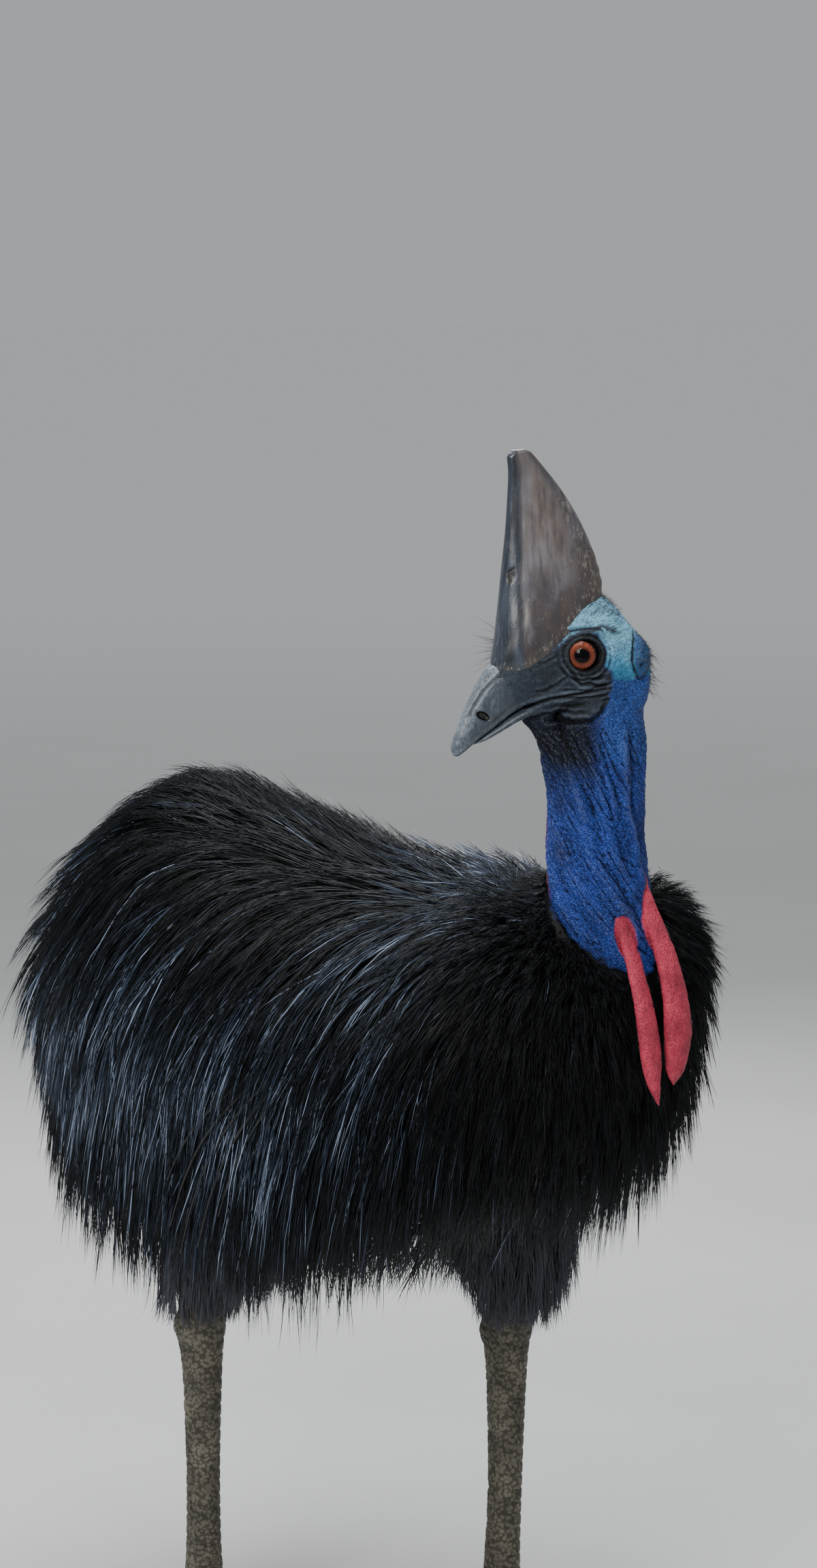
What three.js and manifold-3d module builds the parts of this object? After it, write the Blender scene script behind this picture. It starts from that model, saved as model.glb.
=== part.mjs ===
// A southern cassowary as a still, life-size model: it stands on both feet, its neck drawn down in a low S,
// and looks back over its right shoulder. Millimetres, +Z up, the breast faces -Y, the bird's left is +X.
import * as THREE from "three";
import { mergeVertices } from "three/addons/utils/BufferGeometryUtils.js";
import Module from "manifold-3d";

const wasm = await Module();
wasm.setup();

// Driving sizes
const GAP = 0.35; // what neighbouring pieces keep clear of each other
const HEAD_TURN = 110; // degrees that the head is turned to the bird's right
const HEAD_AT = { left: -30, forward: 360, up: 970 }; // middle of the neck's top, where the head starts
const BACK_HEIGHT = 888;
const STANCE = 105; // each foot's distance from the middle line
const KNEE_OUT = 10; // how much wider the ankles stand than the feet
const LEG = {
  left: { side: 1, foot: 84, ankle: 74, hip: 60 },
  right: { side: -1, foot: -136, ankle: -132, hip: -40 },
};
const ANKLE_HEIGHT = 335;
const EYE_RADIUS = 15.5;
const EYE_AT = { u: 23.4, v: 25.5, w: 77.2 };

const CORE_DEPTH = 24; // how far the torso's core lies under the feathers' outer form
const FALL_AT_RUMP = 64; // degrees that the coat lies below the body's line
const FALL_AT_NECK = 0;
const HANG_FROM = -0.18; // how far the coat turns under before its feathers hang free
const HANG_RATE = 0.35;
const UNDER_FROM = 2.3; // radians from the spine where the sparser coat of the underside starts
// Rows of locks: the share of the torso's length that each grows at, its spacing and its locks' length
const LOCK_ROWS = [
  { share: 0.1, spacing: 66, length: 150 },
  { share: 0.19, spacing: 74, length: 185 },
  { share: 0.28, spacing: 78, length: 190 },
  { share: 0.37, spacing: 78, length: 195 },
  { share: 0.455, spacing: 78, length: 190 },
  { share: 0.54, spacing: 78, length: 180 },
  { share: 0.62, spacing: 76, length: 165 },
  { share: 0.7, spacing: 72, length: 150 },
  { share: 0.78, spacing: 68, length: 130 },
  { share: 0.86, spacing: 62, length: 110 },
  { share: 0.93, spacing: 54, length: 80 },
];

const THIGH_ROWS = [
  { share: 0.36, count: 8, length: 95 },
  { share: 0.6, count: 7, length: 80 },
];

const QUILL_STEPS = 5;
const QUILL_RADIUS = 2.6;
const QUILL_LIFT = [-22, -2, 8, 11, 11, 9]; // along a quill, over the coat's outer form

// Colours
const SKIN_BLACK = 0x24262a;
const SKIN_BLUE = 0x2a3c9e;
const PLUMAGE = 0x14151a;
const HORN = 0x4b443f;
const BILL = 0x3a3f45;
const WATTLE = 0xc23b50;
const IRIS = 0xa2512e;
const LEG_SKIN = 0x5d5a50;
const CLAW = 0x2f2c29;
const QUILL = 0x1b1a1c;

const radians = THREE.MathUtils.degToRad;
const vector = (x, y, z) => new THREE.Vector3(x, y, z);
const at = (left, forward, up) => vector(left, -forward, up);

// A point of the head, u ahead along the bill's heading, v to the head's left, w up, from HEAD_AT.
const HEADING = radians(270 - HEAD_TURN);
const AHEAD = vector(Math.cos(HEADING), Math.sin(HEADING), 0);
const ASIDE = vector(-Math.sin(HEADING), Math.cos(HEADING), 0);
const HEAD_ORIGIN = at(HEAD_AT.left, HEAD_AT.forward, HEAD_AT.up);

// A closed geometry as a manifold-3d solid that faces out.
function solid(geometry) {
  const plain = new THREE.BufferGeometry();
  const source = geometry.index ? geometry.toNonIndexed() : geometry;
  plain.setAttribute("position", source.getAttribute("position"));
  const merged = mergeVertices(plain, 1e-3);
  const corners = [];
  for (let i = 0; i < merged.index.count; i += 3) {
    const [a, b, c] = [0, 1, 2].map((k) => merged.index.getX(i + k));
    if (a !== b && b !== c && a !== c) corners.push(a, b, c);
  }
  const build = (triVerts) =>
    new wasm.Manifold(
      new wasm.Mesh({
        numProp: 3,
        vertProperties: new Float32Array(merged.attributes.position.array),
        triVerts: new Uint32Array(triVerts),
      }),
    );
  const made = build(corners);
  return made.volume() >= 0 ? made : build(corners.toReversed());
}

// The largest closed surface of a solid, so that no loose scrap is kept.
function largest(body) {
  return body.decompose().sort((a, b) => b.volume() - a.volume())[0];
}

// Solids with all that lies within a gap of them, for others to be tested against.
function swollen(bodies) {
  const shifts = [];
  for (const axis of [0, 1, 2]) {
    for (const way of [-GAP, GAP]) {
      const shift = [0, 0, 0];
      shift[axis] = way;
      shifts.push(shift);
    }
  }
  return wasm.Manifold.union(bodies.flatMap((body) => shifts.map((shift) => body.translate(shift))));
}

function geometryOf(body) {
  const mesh = body.getMesh();
  const points = new Float32Array(mesh.numVert * 3);
  for (let i = 0; i < mesh.numVert; i++) {
    points.set(
      mesh.vertProperties.subarray(i * mesh.numProp, i * mesh.numProp + 3),
      i * 3,
    );
  }
  const geometry = new THREE.BufferGeometry();
  geometry.setAttribute("position", new THREE.BufferAttribute(points, 3));
  geometry.setIndex(new THREE.BufferAttribute(mesh.triVerts, 1));
  geometry.computeVertexNormals();
  return geometry;
}

// Moves every vertex of a unit cylinder to place(share of the length, angle round it, 0 on the axis or 1).
function wrap(around, along, place) {
  const geometry = new THREE.CylinderGeometry(1, 1, 1, around, along);
  const position = geometry.attributes.position;
  for (let i = 0; i < position.count; i++) {
    const [x, y, z] = [position.getX(i), position.getY(i), position.getZ(i)];
    const reach = Math.hypot(x, z) > 0.5 ? 1 : 0;
    const point = place(y + 0.5, Math.atan2(x, z), reach);
    position.setXYZ(i, point.x, point.y, point.z);
  }
  return solid(geometry);
}

// A form swept through stations: each has a middle and two half axes, and its section is an ellipse whose
// width grows by skew towards the first axis.
class Form {
  constructor(stations, { skew = 0, power = 2 } = {}) {
    const line = (pick) =>
      new THREE.CatmullRomCurve3(stations.map(pick), false, "catmullrom", 0.5);
    this.middle = line((s) => s.middle);
    this.major = line((s) => s.major);
    this.minor = line((s) => s.minor);
    this.skew = skew;
    this.power = power;
  }

  point(share, angle, grow = 0, reach = 1) {
    const middle = this.middle.getPoint(share);
    if (reach === 0) return middle;
    const major = this.major.getPoint(share);
    const minor = this.minor.getPoint(share);
    const rounded = (x) => Math.sign(x) * Math.abs(x) ** (2 / this.power);
    const along = rounded(Math.cos(angle));
    const across = rounded(Math.sin(angle)) * (1 + this.skew * along);
    const more = typeof grow === "function" ? grow(share) : grow;
    major.setLength(major.length() + more);
    minor.setLength(minor.length() + more);
    return middle.addScaledVector(major, along).addScaledVector(minor, across);
  }

  normal(share, angle) {
    const step = 0.004;
    const low = Math.max(share - step, 0);
    const high = Math.min(share + step, 1);
    const along = this.point(high, angle).sub(this.point(low, angle));
    const round = this.point(share, angle + 0.02);
    round.sub(this.point(share, angle - 0.02));
    const out = along.cross(round).normalize();
    const away = this.point(share, angle).sub(this.middle.getPoint(share));
    return out.dot(away) < 0 ? out.negate() : out;
  }

  solid(around, along, grow = 0, from = 0, to = 1) {
    return wrap(around, along, (share, angle, reach) =>
      this.point(from + (to - from) * share, angle, grow, reach),
    );
  }
}

// Everything on one side of a plane, as a large box whose face lies on the plane.
function half(point, direction) {
  const size = 3000;
  const box = new THREE.BoxGeometry(size, size, size);
  box.translate(0, 0, size / 2);
  const turn = new THREE.Quaternion();
  turn.setFromUnitVectors(vector(0, 0, 1), direction.clone().normalize());
  box.applyQuaternion(turn);
  box.translate(point.x, point.y, point.z);
  return solid(box);
}

// Torso: the plumage's outer form from the tail end to the collar, where the axis turns up into the neck
const torsoStation = (forward, up, height, width, tilt = 0) => ({
  middle: at(0, forward, up),
  major: at(0, -height * Math.sin(radians(tilt)), height * Math.cos(radians(tilt))),
  minor: vector(width, 0, 0),
});
const TOP = BACK_HEIGHT;
const torsoForm = new Form(
  [
    torsoStation(-462, TOP - 236, 26, 34, -20),
    torsoStation(-432, TOP - 230, 108, 86, -12),
    torsoStation(-365, TOP - 226, 180, 140, -6),
    torsoStation(-265, TOP - 230, 222, 182, 0),
    torsoStation(-140, TOP - 246, 220, 207, 2),
    torsoStation(0, TOP - 256, 204, 218, 0),
    torsoStation(120, TOP - 248, 193, 211, 2),
    torsoStation(211, TOP - 220, 169, 188, 13),
    torsoStation(268, TOP - 180, 148, 160, 34),
    torsoStation(315, TOP - 130, 114, 132, 52),
    torsoStation(337, TOP - 88, 76, 100, 74),
    torsoStation(350, TOP - 44, 58, 68, 84),
  ],
  { skew: -0.08 },
);
// The core lies deeper under the long feathers of the body than under the short ones of the neck's base.
const coreDepth = (share) => CORE_DEPTH * (1 - 0.6 * THREE.MathUtils.smoothstep(share, 0.78, 0.96));
const torsoCore = (grow = 0) => torsoForm.solid(16, 14, (share) => grow - coreDepth(share));

// The bare neck's lower edge, high at the nape and low at the throat
const COLLAR_BACK = at(0, 296, 860);
const COLLAR_FRONT = at(0, 414, 760);
const COLLAR_SIDE = vector(50, 0, 18); // and higher on the left, away from the turn of the head
const collarUp = COLLAR_FRONT.clone().sub(COLLAR_BACK).cross(COLLAR_SIDE).normalize();
if (collarUp.z < 0) collarUp.negate();
const aboveCollar = (rise) => half(COLLAR_BACK.clone().addScaledVector(collarUp, rise), collarUp);
const belowCollar = (rise) =>
  half(COLLAR_BACK.clone().addScaledVector(collarUp, rise), collarUp.clone().negate());

// Draws numbers between -1 and 1, the same ones each time
let seed = 20251;
function vary() {
  seed = (seed * 1664525 + 1013904223) % 4294967296;
  return (seed / 4294967296) * 2 - 1;
}

// Walks over a form from a place on it along the lie of the coat. Where the form ends or turns under,
// the walk leaves it and sinks, as long feathers hang.
function walk(form, share, angle, lie, length, steps) {
  const places = [];
  const nudge = 0.01;
  const fine = 5;
  const stride = length / steps / fine;
  const point = form.point(share, angle);
  const normal = form.normal(share, angle);
  let way = lie(share, angle);
  let free = false;
  for (let i = 0; i <= steps * fine; i++) {
    free ||= share < 0.03 || share > 0.97 || (i > 0 && normal.z < HANG_FROM);
    if (free) way.lerp(DOWN, HANG_RATE / fine).normalize();
    else way = lie(share, angle).projectOnPlane(normal).normalize();
    normal.projectOnPlane(way).normalize();
    if (i % fine === 0) places.push({ point: point.clone(), normal: normal.clone(), way: way.clone() });
    if (free) {
      point.addScaledVector(way, stride);
      continue;
    }
    const along = form.point(share + nudge, angle).sub(form.point(share - nudge, angle));
    const around = form.point(share, angle + nudge).sub(form.point(share, angle - nudge));
    along.divideScalar(2 * nudge);
    around.divideScalar(2 * nudge);
    const [aa, ab, bb] = [along.dot(along), along.dot(around), around.dot(around)];
    const [wa, wb] = [way.dot(along), way.dot(around)];
    const scale = stride / (aa * bb - ab * ab);
    share = THREE.MathUtils.clamp(share + (wa * bb - wb * ab) * scale, 0.02, 0.98);
    angle += (wb * aa - wa * ab) * scale;
    point.copy(form.point(share, angle));
    normal.copy(form.normal(share, angle));
  }
  return places;
}

// A flat lock with a low ridge along it: sunk at the root, widest a third of the way out, thin at the tip.
const LOCK_STEPS = 3;
const LOCK_WIDTH = [0.7, 1, 0.8, 0.12];
const LOCK_THICK = [1, 1, 0.8, 0.22];
const DOWN = vector(0, 0, -1);
function lockForm(form, share, angle, lie, size) {
  const places = walk(form, share, angle, lie, size.length, LOCK_STEPS);
  const { depth } = size;
  const lift = [-depth - 10, -depth / 2, -depth / 5, 0];
  return new Form(
    places.map(({ point, normal, way }, i) => ({
      middle: point.clone().addScaledVector(normal, lift[i] + size.lift * (i / LOCK_STEPS)),
      major: normal.clone().multiplyScalar(size.thick * LOCK_THICK[i]),
      minor: way.clone().cross(normal).setLength((size.width / 2) * LOCK_WIDTH[i]),
    })),
  );
}
const lockSolid = (form, grow = 0) => form.solid(3, LOCK_STEPS, grow);

// The coat's lie on the torso: back along the body and, the further from the neck, the more downward
function torsoLie(share) {
  const back = torsoForm.middle.getTangent(share).negate();
  const fall = THREE.MathUtils.lerp(FALL_AT_RUMP, FALL_AT_NECK, share ** 0.8);
  return back.multiplyScalar(Math.cos(radians(fall))).addScaledVector(DOWN, Math.sin(radians(fall)));
}

function torsoLocks(obstacle) {
  const locks = [];
  LOCK_ROWS.forEach(({ share, spacing, length }, row) => {
    const ring = Array.from({ length: 48 }, (_, i) => torsoForm.point(share, (i / 48) * 2 * Math.PI));
    const girth = ring.reduce((sum, p, i) => sum + p.distanceTo(ring[(i + 1) % 48]), 0);
    const count = Math.round(girth / spacing / 2) * 2;
    for (let i = 0; i < count; i++) {
      const angle = ((i + (row % 2 ? 0.5 : 0)) / count) * 2 * Math.PI - Math.PI + 0.04 * vary();
      const under = share < 0.7 && Math.abs(angle) > UNDER_FROM;
      if ((under && i % 2) || (share < 0.25 && Math.abs(angle) > 2)) continue;
      const size = {
        length: length * (under ? 0.85 : 1) * (1 + 0.14 * vary()),
        width: spacing * (under ? 1.3 : 1) * (0.95 + 0.1 * vary()),
        thick: 7,
        depth: coreDepth(share),
        lift: 4 + 3 * vary(),
      };
      locks.push(clearLock(share + 0.008 * vary(), angle, size, obstacle));
    }
  });
  return locks.filter(Boolean);
}

// The lock as it would grow, or raised and shortened step by step until it passes clear of the obstacle
function clearLock(share, angle, size, obstacle) {
  for (let ease = 0; ease < 6; ease++) {
    const eased = { ...size, lift: size.lift + 5 * ease, length: size.length * (1 - 0.09 * ease) };
    const lock = lockSolid(lockForm(torsoForm, share, angle, torsoLie, eased));
    if (lock.intersect(obstacle).isEmpty()) return lock;
  }
  return null;
}

// Neck: bare skin from the head down into the collar, turning from the head's heading to the body's
const neckStation = (left, forward, up, deep, wide, turn) => {
  const heading = radians(270 - turn);
  return {
    middle: at(left, forward, up),
    major: vector(Math.cos(heading), Math.sin(heading), 0).multiplyScalar(deep),
    minor: vector(-Math.sin(heading), Math.cos(heading), 0).multiplyScalar(wide),
  };
};
const neckForm = new Form([
  neckStation(-29, 359.5, 1005, 44, 37, 110),
  neckStation(-30, 357.5, 970, 49, 40, 110),
  neckStation(-29, 357, 925, 49, 41, 98),
  neckStation(-26, 356, 880, 49, 43, 76),
  neckStation(-20, 355, 835, 50, 47, 48),
  neckStation(-10, 353, 790, 56, 51, 18),
  neckStation(0, 350, 745, 63, 57, 0),
  neckStation(0, 335, 700, 66, 60, 0),
]);
const NECK_CUTS = [1 / 7, 2.35 / 7, 3.75 / 7, 1];
const HALF_GAP = 0.0012; // share of the neck's length that each piece stops short of a cut

function neckPiece(index, grow = 0) {
  const from = NECK_CUTS[index] + HALF_GAP;
  const to = NECK_CUTS[index + 1] - HALF_GAP;
  return neckForm.solid(16, 4, grow, from, to);
}

// Head, in its own frame: u ahead, v left, w up. A slice is given by its top, its bottom and its half width.
const slice = (topU, topW, bottomU, bottomW, width) => ({
  middle: vector((topU + bottomU) / 2, 0, (topW + bottomW) / 2),
  major: vector((topU - bottomU) / 2, 0, (topW - bottomW) / 2),
  minor: vector(0, width, 0),
});
const skullForm = new Form(
  [
    slice(-49.5, 68, -49.5, 62, 3),
    slice(-44, 88, -47.5, 40, 22),
    slice(-32, 102, -41, 18, 31),
    slice(-12, 124, -25, 6, 36),
    slice(8, 134, -2, 8, 37.5),
    slice(28, 130, 16, 17, 37),
    slice(48, 114, 32, 22, 33),
    slice(66, 99, 46, 24, 28.5),
    slice(84, 82, 57, 24, 24),
    slice(99, 70, 68, 27, 19.5),
    slice(108, 61, 86, 20, 15),
    slice(117, 47, 103, 8, 12),
    slice(126, 30, 116, -1, 9.5),
    slice(134, 12, 126, -9, 7),
    slice(140, -5, 134, -14, 4),
    slice(138, -13, 137, -14, 1),
  ],
  { skew: -0.12, power: 2.15 },
);
const jawForm = new Form(
  [
    slice(40, 38, 34, 25, 22),
    slice(62, 35, 56, 21, 21),
    slice(79, 26, 74, 17.5, 16),
    slice(96, 14, 92, 8, 11.5),
    slice(111, 4, 108, -0.5, 7.5),
    slice(120, -2.5, 119, -4, 2),
  ],
  { power: 2.3 },
);
const MOUTH_LINE = [
  [136, -16],
  [115, 0],
  [98, 12],
  [80, 25.5],
  [65, 33],
  [50, 38],
  [23, 43],
  [-5, 48],
];
const BILL_CUT_TOP = vector(103, 0, 70);
const BILL_CUT_BOTTOM = vector(67, 0, 18);
const billAhead = vector(
  BILL_CUT_TOP.z - BILL_CUT_BOTTOM.z,
  0,
  BILL_CUT_BOTTOM.x - BILL_CUT_TOP.x,
).normalize();

// A thin curved sheet along the mouth line, as wide as the face.
function mouthSheet(thickness, deepest, from) {
  const line = MOUTH_LINE.slice(from);
  const shape = new THREE.Shape();
  const half = thickness / 2;
  line.forEach(([u, w], i) =>
    i ? shape.lineTo(u, w + half) : shape.moveTo(u, w + half),
  );
  line.toReversed().forEach(([u, w]) => shape.lineTo(u, w - half));
  const sheet = new THREE.ExtrudeGeometry(shape, {
    depth: deepest * 2,
    bevelEnabled: false,
  });
  sheet.translate(0, 0, -deepest);
  sheet.rotateX(Math.PI / 2);
  return solid(sheet);
}

// Everything below the mouth line, ahead of the gape.
function belowMouth(shift) {
  const shape = new THREE.Shape();
  MOUTH_LINE.slice(0, 6).forEach(([u, w], i) =>
    i ? shape.lineTo(u, w - shift) : shape.moveTo(u, w - shift),
  );
  shape.lineTo(40, -60);
  shape.lineTo(160, -60);
  const block = new THREE.ExtrudeGeometry(shape, {
    depth: 120,
    bevelEnabled: false,
  });
  block.translate(0, 0, -60);
  block.rotateX(Math.PI / 2);
  return solid(block);
}

const ball = (radius, u, v, w, fine = 12) => {
  const sphere = new THREE.SphereGeometry(radius, fine, fine * 0.75);
  sphere.rotateX(Math.PI / 2);
  sphere.translate(u, v, w);
  return solid(sphere);
};

// A ring that stands out of the face, such as a lid or the rim of an ear.
function ring(radius, thick, u, v, w, stretch = 1, lean = 0) {
  const torus = new THREE.TorusGeometry(radius, thick, 5, 12);
  torus.scale(stretch, 1, 1);
  torus.rotateX(Math.PI / 2);
  torus.rotateY(radians(lean));
  torus.translate(u, v, w);
  return solid(torus);
}

function headSolid() {
  const skull = skullForm.solid(18, 17);
  const jaw = jawForm.solid(10, 7);
  const throat = neckForm
    .solid(16, 2, 0, 0, 1 / 7)
    .transform(worldToHead.elements);
  const rear = half(BILL_CUT_TOP, billAhead.clone().negate());
  let head = skull.add(jaw).add(throat).intersect(rear);
  for (const v of [1, -1]) {
    const { u, v: aside, w } = EYE_AT;
    head = head.add(
      ring(EYE_RADIUS + 0.6, 2.6, u, v * (aside + 10.5), w, 1.04),
    );
    head = head.add(ring(7.5, 2.4, -31, v * 31, 68, 0.8, 25));
    head = head.subtract(ball(5.5, -31, v * 34, 68, 8));
    head = head.subtract(ball(EYE_RADIUS + GAP, u, v * aside, w, 12));
  }
  head = head.subtract(half(vector(0, 0, GAP), vector(0, 0, -1)));
  return largest(head.subtract(mouthSheet(1.2, 60, 3)));
}

function upperBill() {
  const front = half(
    BILL_CUT_TOP.clone().addScaledVector(billAhead, GAP),
    billAhead,
  );
  let bill = skullForm.solid(18, 17).intersect(front).subtract(belowMouth(0));
  for (const v of [1, -1]) {
    const nostril = new THREE.SphereGeometry(1, 8, 6);
    nostril.scale(6, 4, 3);
    nostril.rotateY(radians(25));
    nostril.translate(112, v * 12, 23);
    bill = bill.subtract(solid(nostril));
  }
  return largest(bill);
}

function lowerBill() {
  const front = half(
    BILL_CUT_TOP.clone().addScaledVector(billAhead, GAP),
    billAhead,
  );
  return largest(
    jawForm.solid(10, 7).intersect(front).intersect(belowMouth(GAP)),
  );
}

// Casque: a tall blade, rounded in front, thin behind, standing on the crown
const casqueForm = new Form(
  [
    slice(94, 52, 30, 60, 16),
    slice(101, 68, -1, 96, 26),
    slice(97.5, 92, -5.5, 131, 26.5),
    slice(94.5, 124, -3, 152, 21),
    slice(91.5, 155, 5.5, 176, 16.5),
    slice(88.5, 185, 18.5, 202, 12.5),
    slice(86.5, 215, 35, 227, 9.5),
    slice(85.5, 242, 52.5, 248, 7.5),
    slice(87.5, 262, 66, 263, 5.5),
  ],
  { skew: 0.05, power: 2.2 },
);

function casqueSolid() {
  const body = casqueForm.solid(14, 10);
  const head = skullForm.solid(18, 17, GAP);
  return largest(body.subtract(head));
}

// Wattles: two soft flaps that hang from the front of the lower neck
const wattleStation = (left, forward, up, wide, thick, turn) => {
  const a = radians(turn);
  return {
    middle: at(left, forward, up),
    major: at(Math.cos(a), -Math.sin(a), 0).multiplyScalar(wide),
    minor: at(Math.sin(a), Math.cos(a), 0).multiplyScalar(thick),
  };
};
const wattleForms = {
  right: new Form([
    wattleStation(-30, 397, 812, 4, 3, 20),
    wattleStation(-32, 410, 787, 8, 6, 20),
    wattleStation(-33, 424, 757, 11, 7.5, 20),
    wattleStation(-33, 433, 722, 12.5, 8, 20),
    wattleStation(-31, 438, 688, 12, 8.5, 20),
    wattleStation(-29, 441, 658, 8, 7, 20),
    wattleStation(-27, 446, 636, 1.5, 1.5, 20),
  ]),
  left: new Form([
    wattleStation(-1, 398, 832, 4, 3, 5),
    wattleStation(1, 410, 802, 9, 6, 5),
    wattleStation(3, 424, 770, 12.5, 7.5, 5),
    wattleStation(4, 434, 735, 15, 8, 5),
    wattleStation(3, 439, 700, 16, 8.5, 5),
    wattleStation(1, 439, 668, 12, 7.5, 5),
    wattleStation(0, 437, 650, 1.5, 1.5, 5),
  ]),
};

// Legs
const legStation = (side, left, forward, up, deep, wide, lean = 0) => ({
  middle: at(side * left, forward, up),
  major: at(
    0,
    deep * Math.cos(radians(lean)),
    deep * Math.sin(radians(lean)),
  ),
  minor: vector(wide, 0, 0),
});
const thighForm = ({ side: s, ankle, hip }) =>
  new Form([
    legStation(s, 88, hip + 10, 560, 104, 68, 0),
    legStation(s, 98, hip + 14, 500, 98, 66, 0),
    legStation(s, 111, (hip + ankle) / 2 + 14, 440, 78, 58, 0),
    legStation(s, STANCE + KNEE_OUT, ankle + 14, 395, 54, 45, 0),
    legStation(s, STANCE + KNEE_OUT, ankle + 8, 368, 36, 34, 0),
  ]);
const thighLie = () => vector(0, 0, -1);
function thighLocks(form, leg) {
  const locks = [];
  seed = 77 + leg.side;
  THIGH_ROWS.forEach(({ share, count, length }, row) => {
    for (let i = 0; i < count; i++) {
      const angle = ((i + (row % 2) / 2) / count) * 2 * Math.PI;
      const size = {
        length: length * (1 + 0.12 * vary()),
        width: 52,
        thick: 6,
        depth: 8,
        lift: 13 + 2 * vary(),
      };
      locks.push(lockForm(form, share, angle, thighLie, size));
    }
  });
  return locks;
}
const shankForm = ({ side: s, ankle, foot }) =>
  new Form([
    legStation(s, STANCE + KNEE_OUT, ankle + 26, 400, 22, 18, 0),
    legStation(s, STANCE + KNEE_OUT, ankle + 12, 365, 24, 20, 0),
    legStation(s, STANCE + KNEE_OUT, ankle, ANKLE_HEIGHT, 28, 25, 0),
    legStation(s, STANCE + KNEE_OUT * 0.9, ankle + 2, 300, 23, 19, 0),
    legStation(s, STANCE + KNEE_OUT / 2, (ankle + foot) / 2, 180, 18.5, 15.5, 0),
    legStation(s, STANCE, foot - 4, 80, 20, 18, 0),
    legStation(s, STANCE, foot, 44, 27, 27, 0),
    legStation(s, STANCE, foot, 16, 27, 26, 0),
    legStation(s, STANCE, foot, -8, 22, 22, 0),
  ]);

const TOES = {
  inner: { spread: -27, length: 108, thick: 17, claw: 105, clawThick: 10 },
  middle: { spread: 2, length: 160, thick: 19, claw: 52, clawThick: 9 },
  outer: { spread: 30, length: 120, thick: 16, claw: 36, clawThick: 8 },
};
function toeForm(leg, toe, start = 0) {
  const outward = radians(toe.spread) * leg.side;
  const way = at(Math.sin(outward), Math.cos(outward), 0);
  const across = at(Math.cos(outward), -Math.sin(outward), 0);
  const root = at(leg.side * STANCE, leg.foot, 0);
  const station = (distance, up, wide, high) => ({
    middle: root
      .clone()
      .addScaledVector(way, distance)
      .add(vector(0, 0, up)),
    major: vector(0, 0, high),
    minor: across.clone().multiplyScalar(wide),
  });
  const { length, thick } = toe;
  return new Form([
    station(start, thick * 1.25, thick * 0.8, thick * 1.15),
    station(length * 0.3, thick * 1.0, thick * 1.0, thick * 1.15),
    station(length * 0.5, thick * 0.85, thick * 0.92, thick * 1.0),
    station(length * 0.75, thick * 0.82, thick * 0.95, thick * 0.98),
    station(length * 0.95, thick * 0.72, thick * 0.8, thick * 0.88),
    station(length * 1.02, thick * 0.7, thick * 0.35, thick * 0.4),
  ]);
}
function clawForm(leg, toe) {
  const outward = radians(toe.spread) * leg.side;
  const way = at(Math.sin(outward), Math.cos(outward), 0);
  const across = at(Math.cos(outward), -Math.sin(outward), 0);
  const root = at(leg.side * STANCE, leg.foot, 0);
  const station = (share, up, radius) => ({
    middle: root
      .clone()
      .addScaledVector(way, toe.length * 0.9 + toe.claw * share * 1.1)
      .add(vector(0, 0, up)),
    major: vector(0, 0, radius),
    minor: across.clone().multiplyScalar(radius * 0.85),
  });
  const r = toe.clawThick;
  return new Form([
    station(-0.08, toe.thick * 0.85, r * 0.9),
    station(0.15, toe.thick * 0.88, r),
    station(0.45, toe.thick * 0.8, r * 0.78),
    station(0.75, toe.thick * 0.58, r * 0.48),
    station(1, toe.thick * 0.25, 0.8),
  ]);
}
const floor = half(vector(0, 0, 0), vector(0, 0, -1));

// Wings: a short stub under the flank feathers with bare quills that curve down over the side
const WING_AT = { share: 0.565, angle: 1.42 };
const QUILLS = [
  { length: 240, start: -27 },
  { length: 280, start: -14 },
  { length: 300, start: 0 },
  { length: 280, start: 14 },
  { length: 240, start: 27 },
];
function quillForm(side, { length, start }) {
  const root = WING_AT.share - start * 0.00085;
  const fan = 0.85 - start * 0.004;
  const lie = (share) => torsoForm.middle.getTangent(share).negate().addScaledVector(DOWN, fan);
  const places = walk(torsoForm, root, WING_AT.angle, lie, length, QUILL_STEPS);
  return new Form(
    places.map(({ point, normal, way }, i) => {
      const run = i / QUILL_STEPS;
      const thick = QUILL_RADIUS * (1 - 0.7 * run);
      const across = way.clone().cross(normal);
      point.addScaledVector(normal, QUILL_LIFT[i]);
      for (const v of [point, normal, across]) v.x *= side;
      return { middle: point, major: normal.setLength(thick), minor: across.setLength(thick) };
    }),
  );
}
function wingSolid(side) {
  const root = torsoForm.point(WING_AT.share, WING_AT.angle, -CORE_DEPTH);
  const stub = new THREE.SphereGeometry(1, 10, 6);
  stub.scale(11, 38, 17);
  stub.translate(side * root.x, root.y, root.z);
  const quills = QUILLS.map((quill) => quillForm(side, quill).solid(4, QUILL_STEPS));
  return wasm.Manifold.union([solid(stub), ...quills]);
}

// The head's own frame set in the bird's
const headToWorld = new THREE.Matrix4().makeBasis(
  AHEAD,
  ASIDE,
  vector(0, 0, 1),
);
headToWorld.setPosition(HEAD_ORIGIN);
const worldToHead = headToWorld.clone().invert();

const bird = new THREE.Group();
const headGroup = new THREE.Group();
headGroup.position.copy(HEAD_ORIGIN);
headGroup.rotation.z = HEADING;
bird.add(headGroup);

function addPiece(group, name, body, color, roughness = 0.7) {
  const material = new THREE.MeshStandardMaterial({
    color,
    roughness,
    metalness: 0,
  });
  const mesh = new THREE.Mesh(geometryOf(body), material);
  mesh.name = name;
  group.add(mesh);
  return mesh;
}

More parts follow.
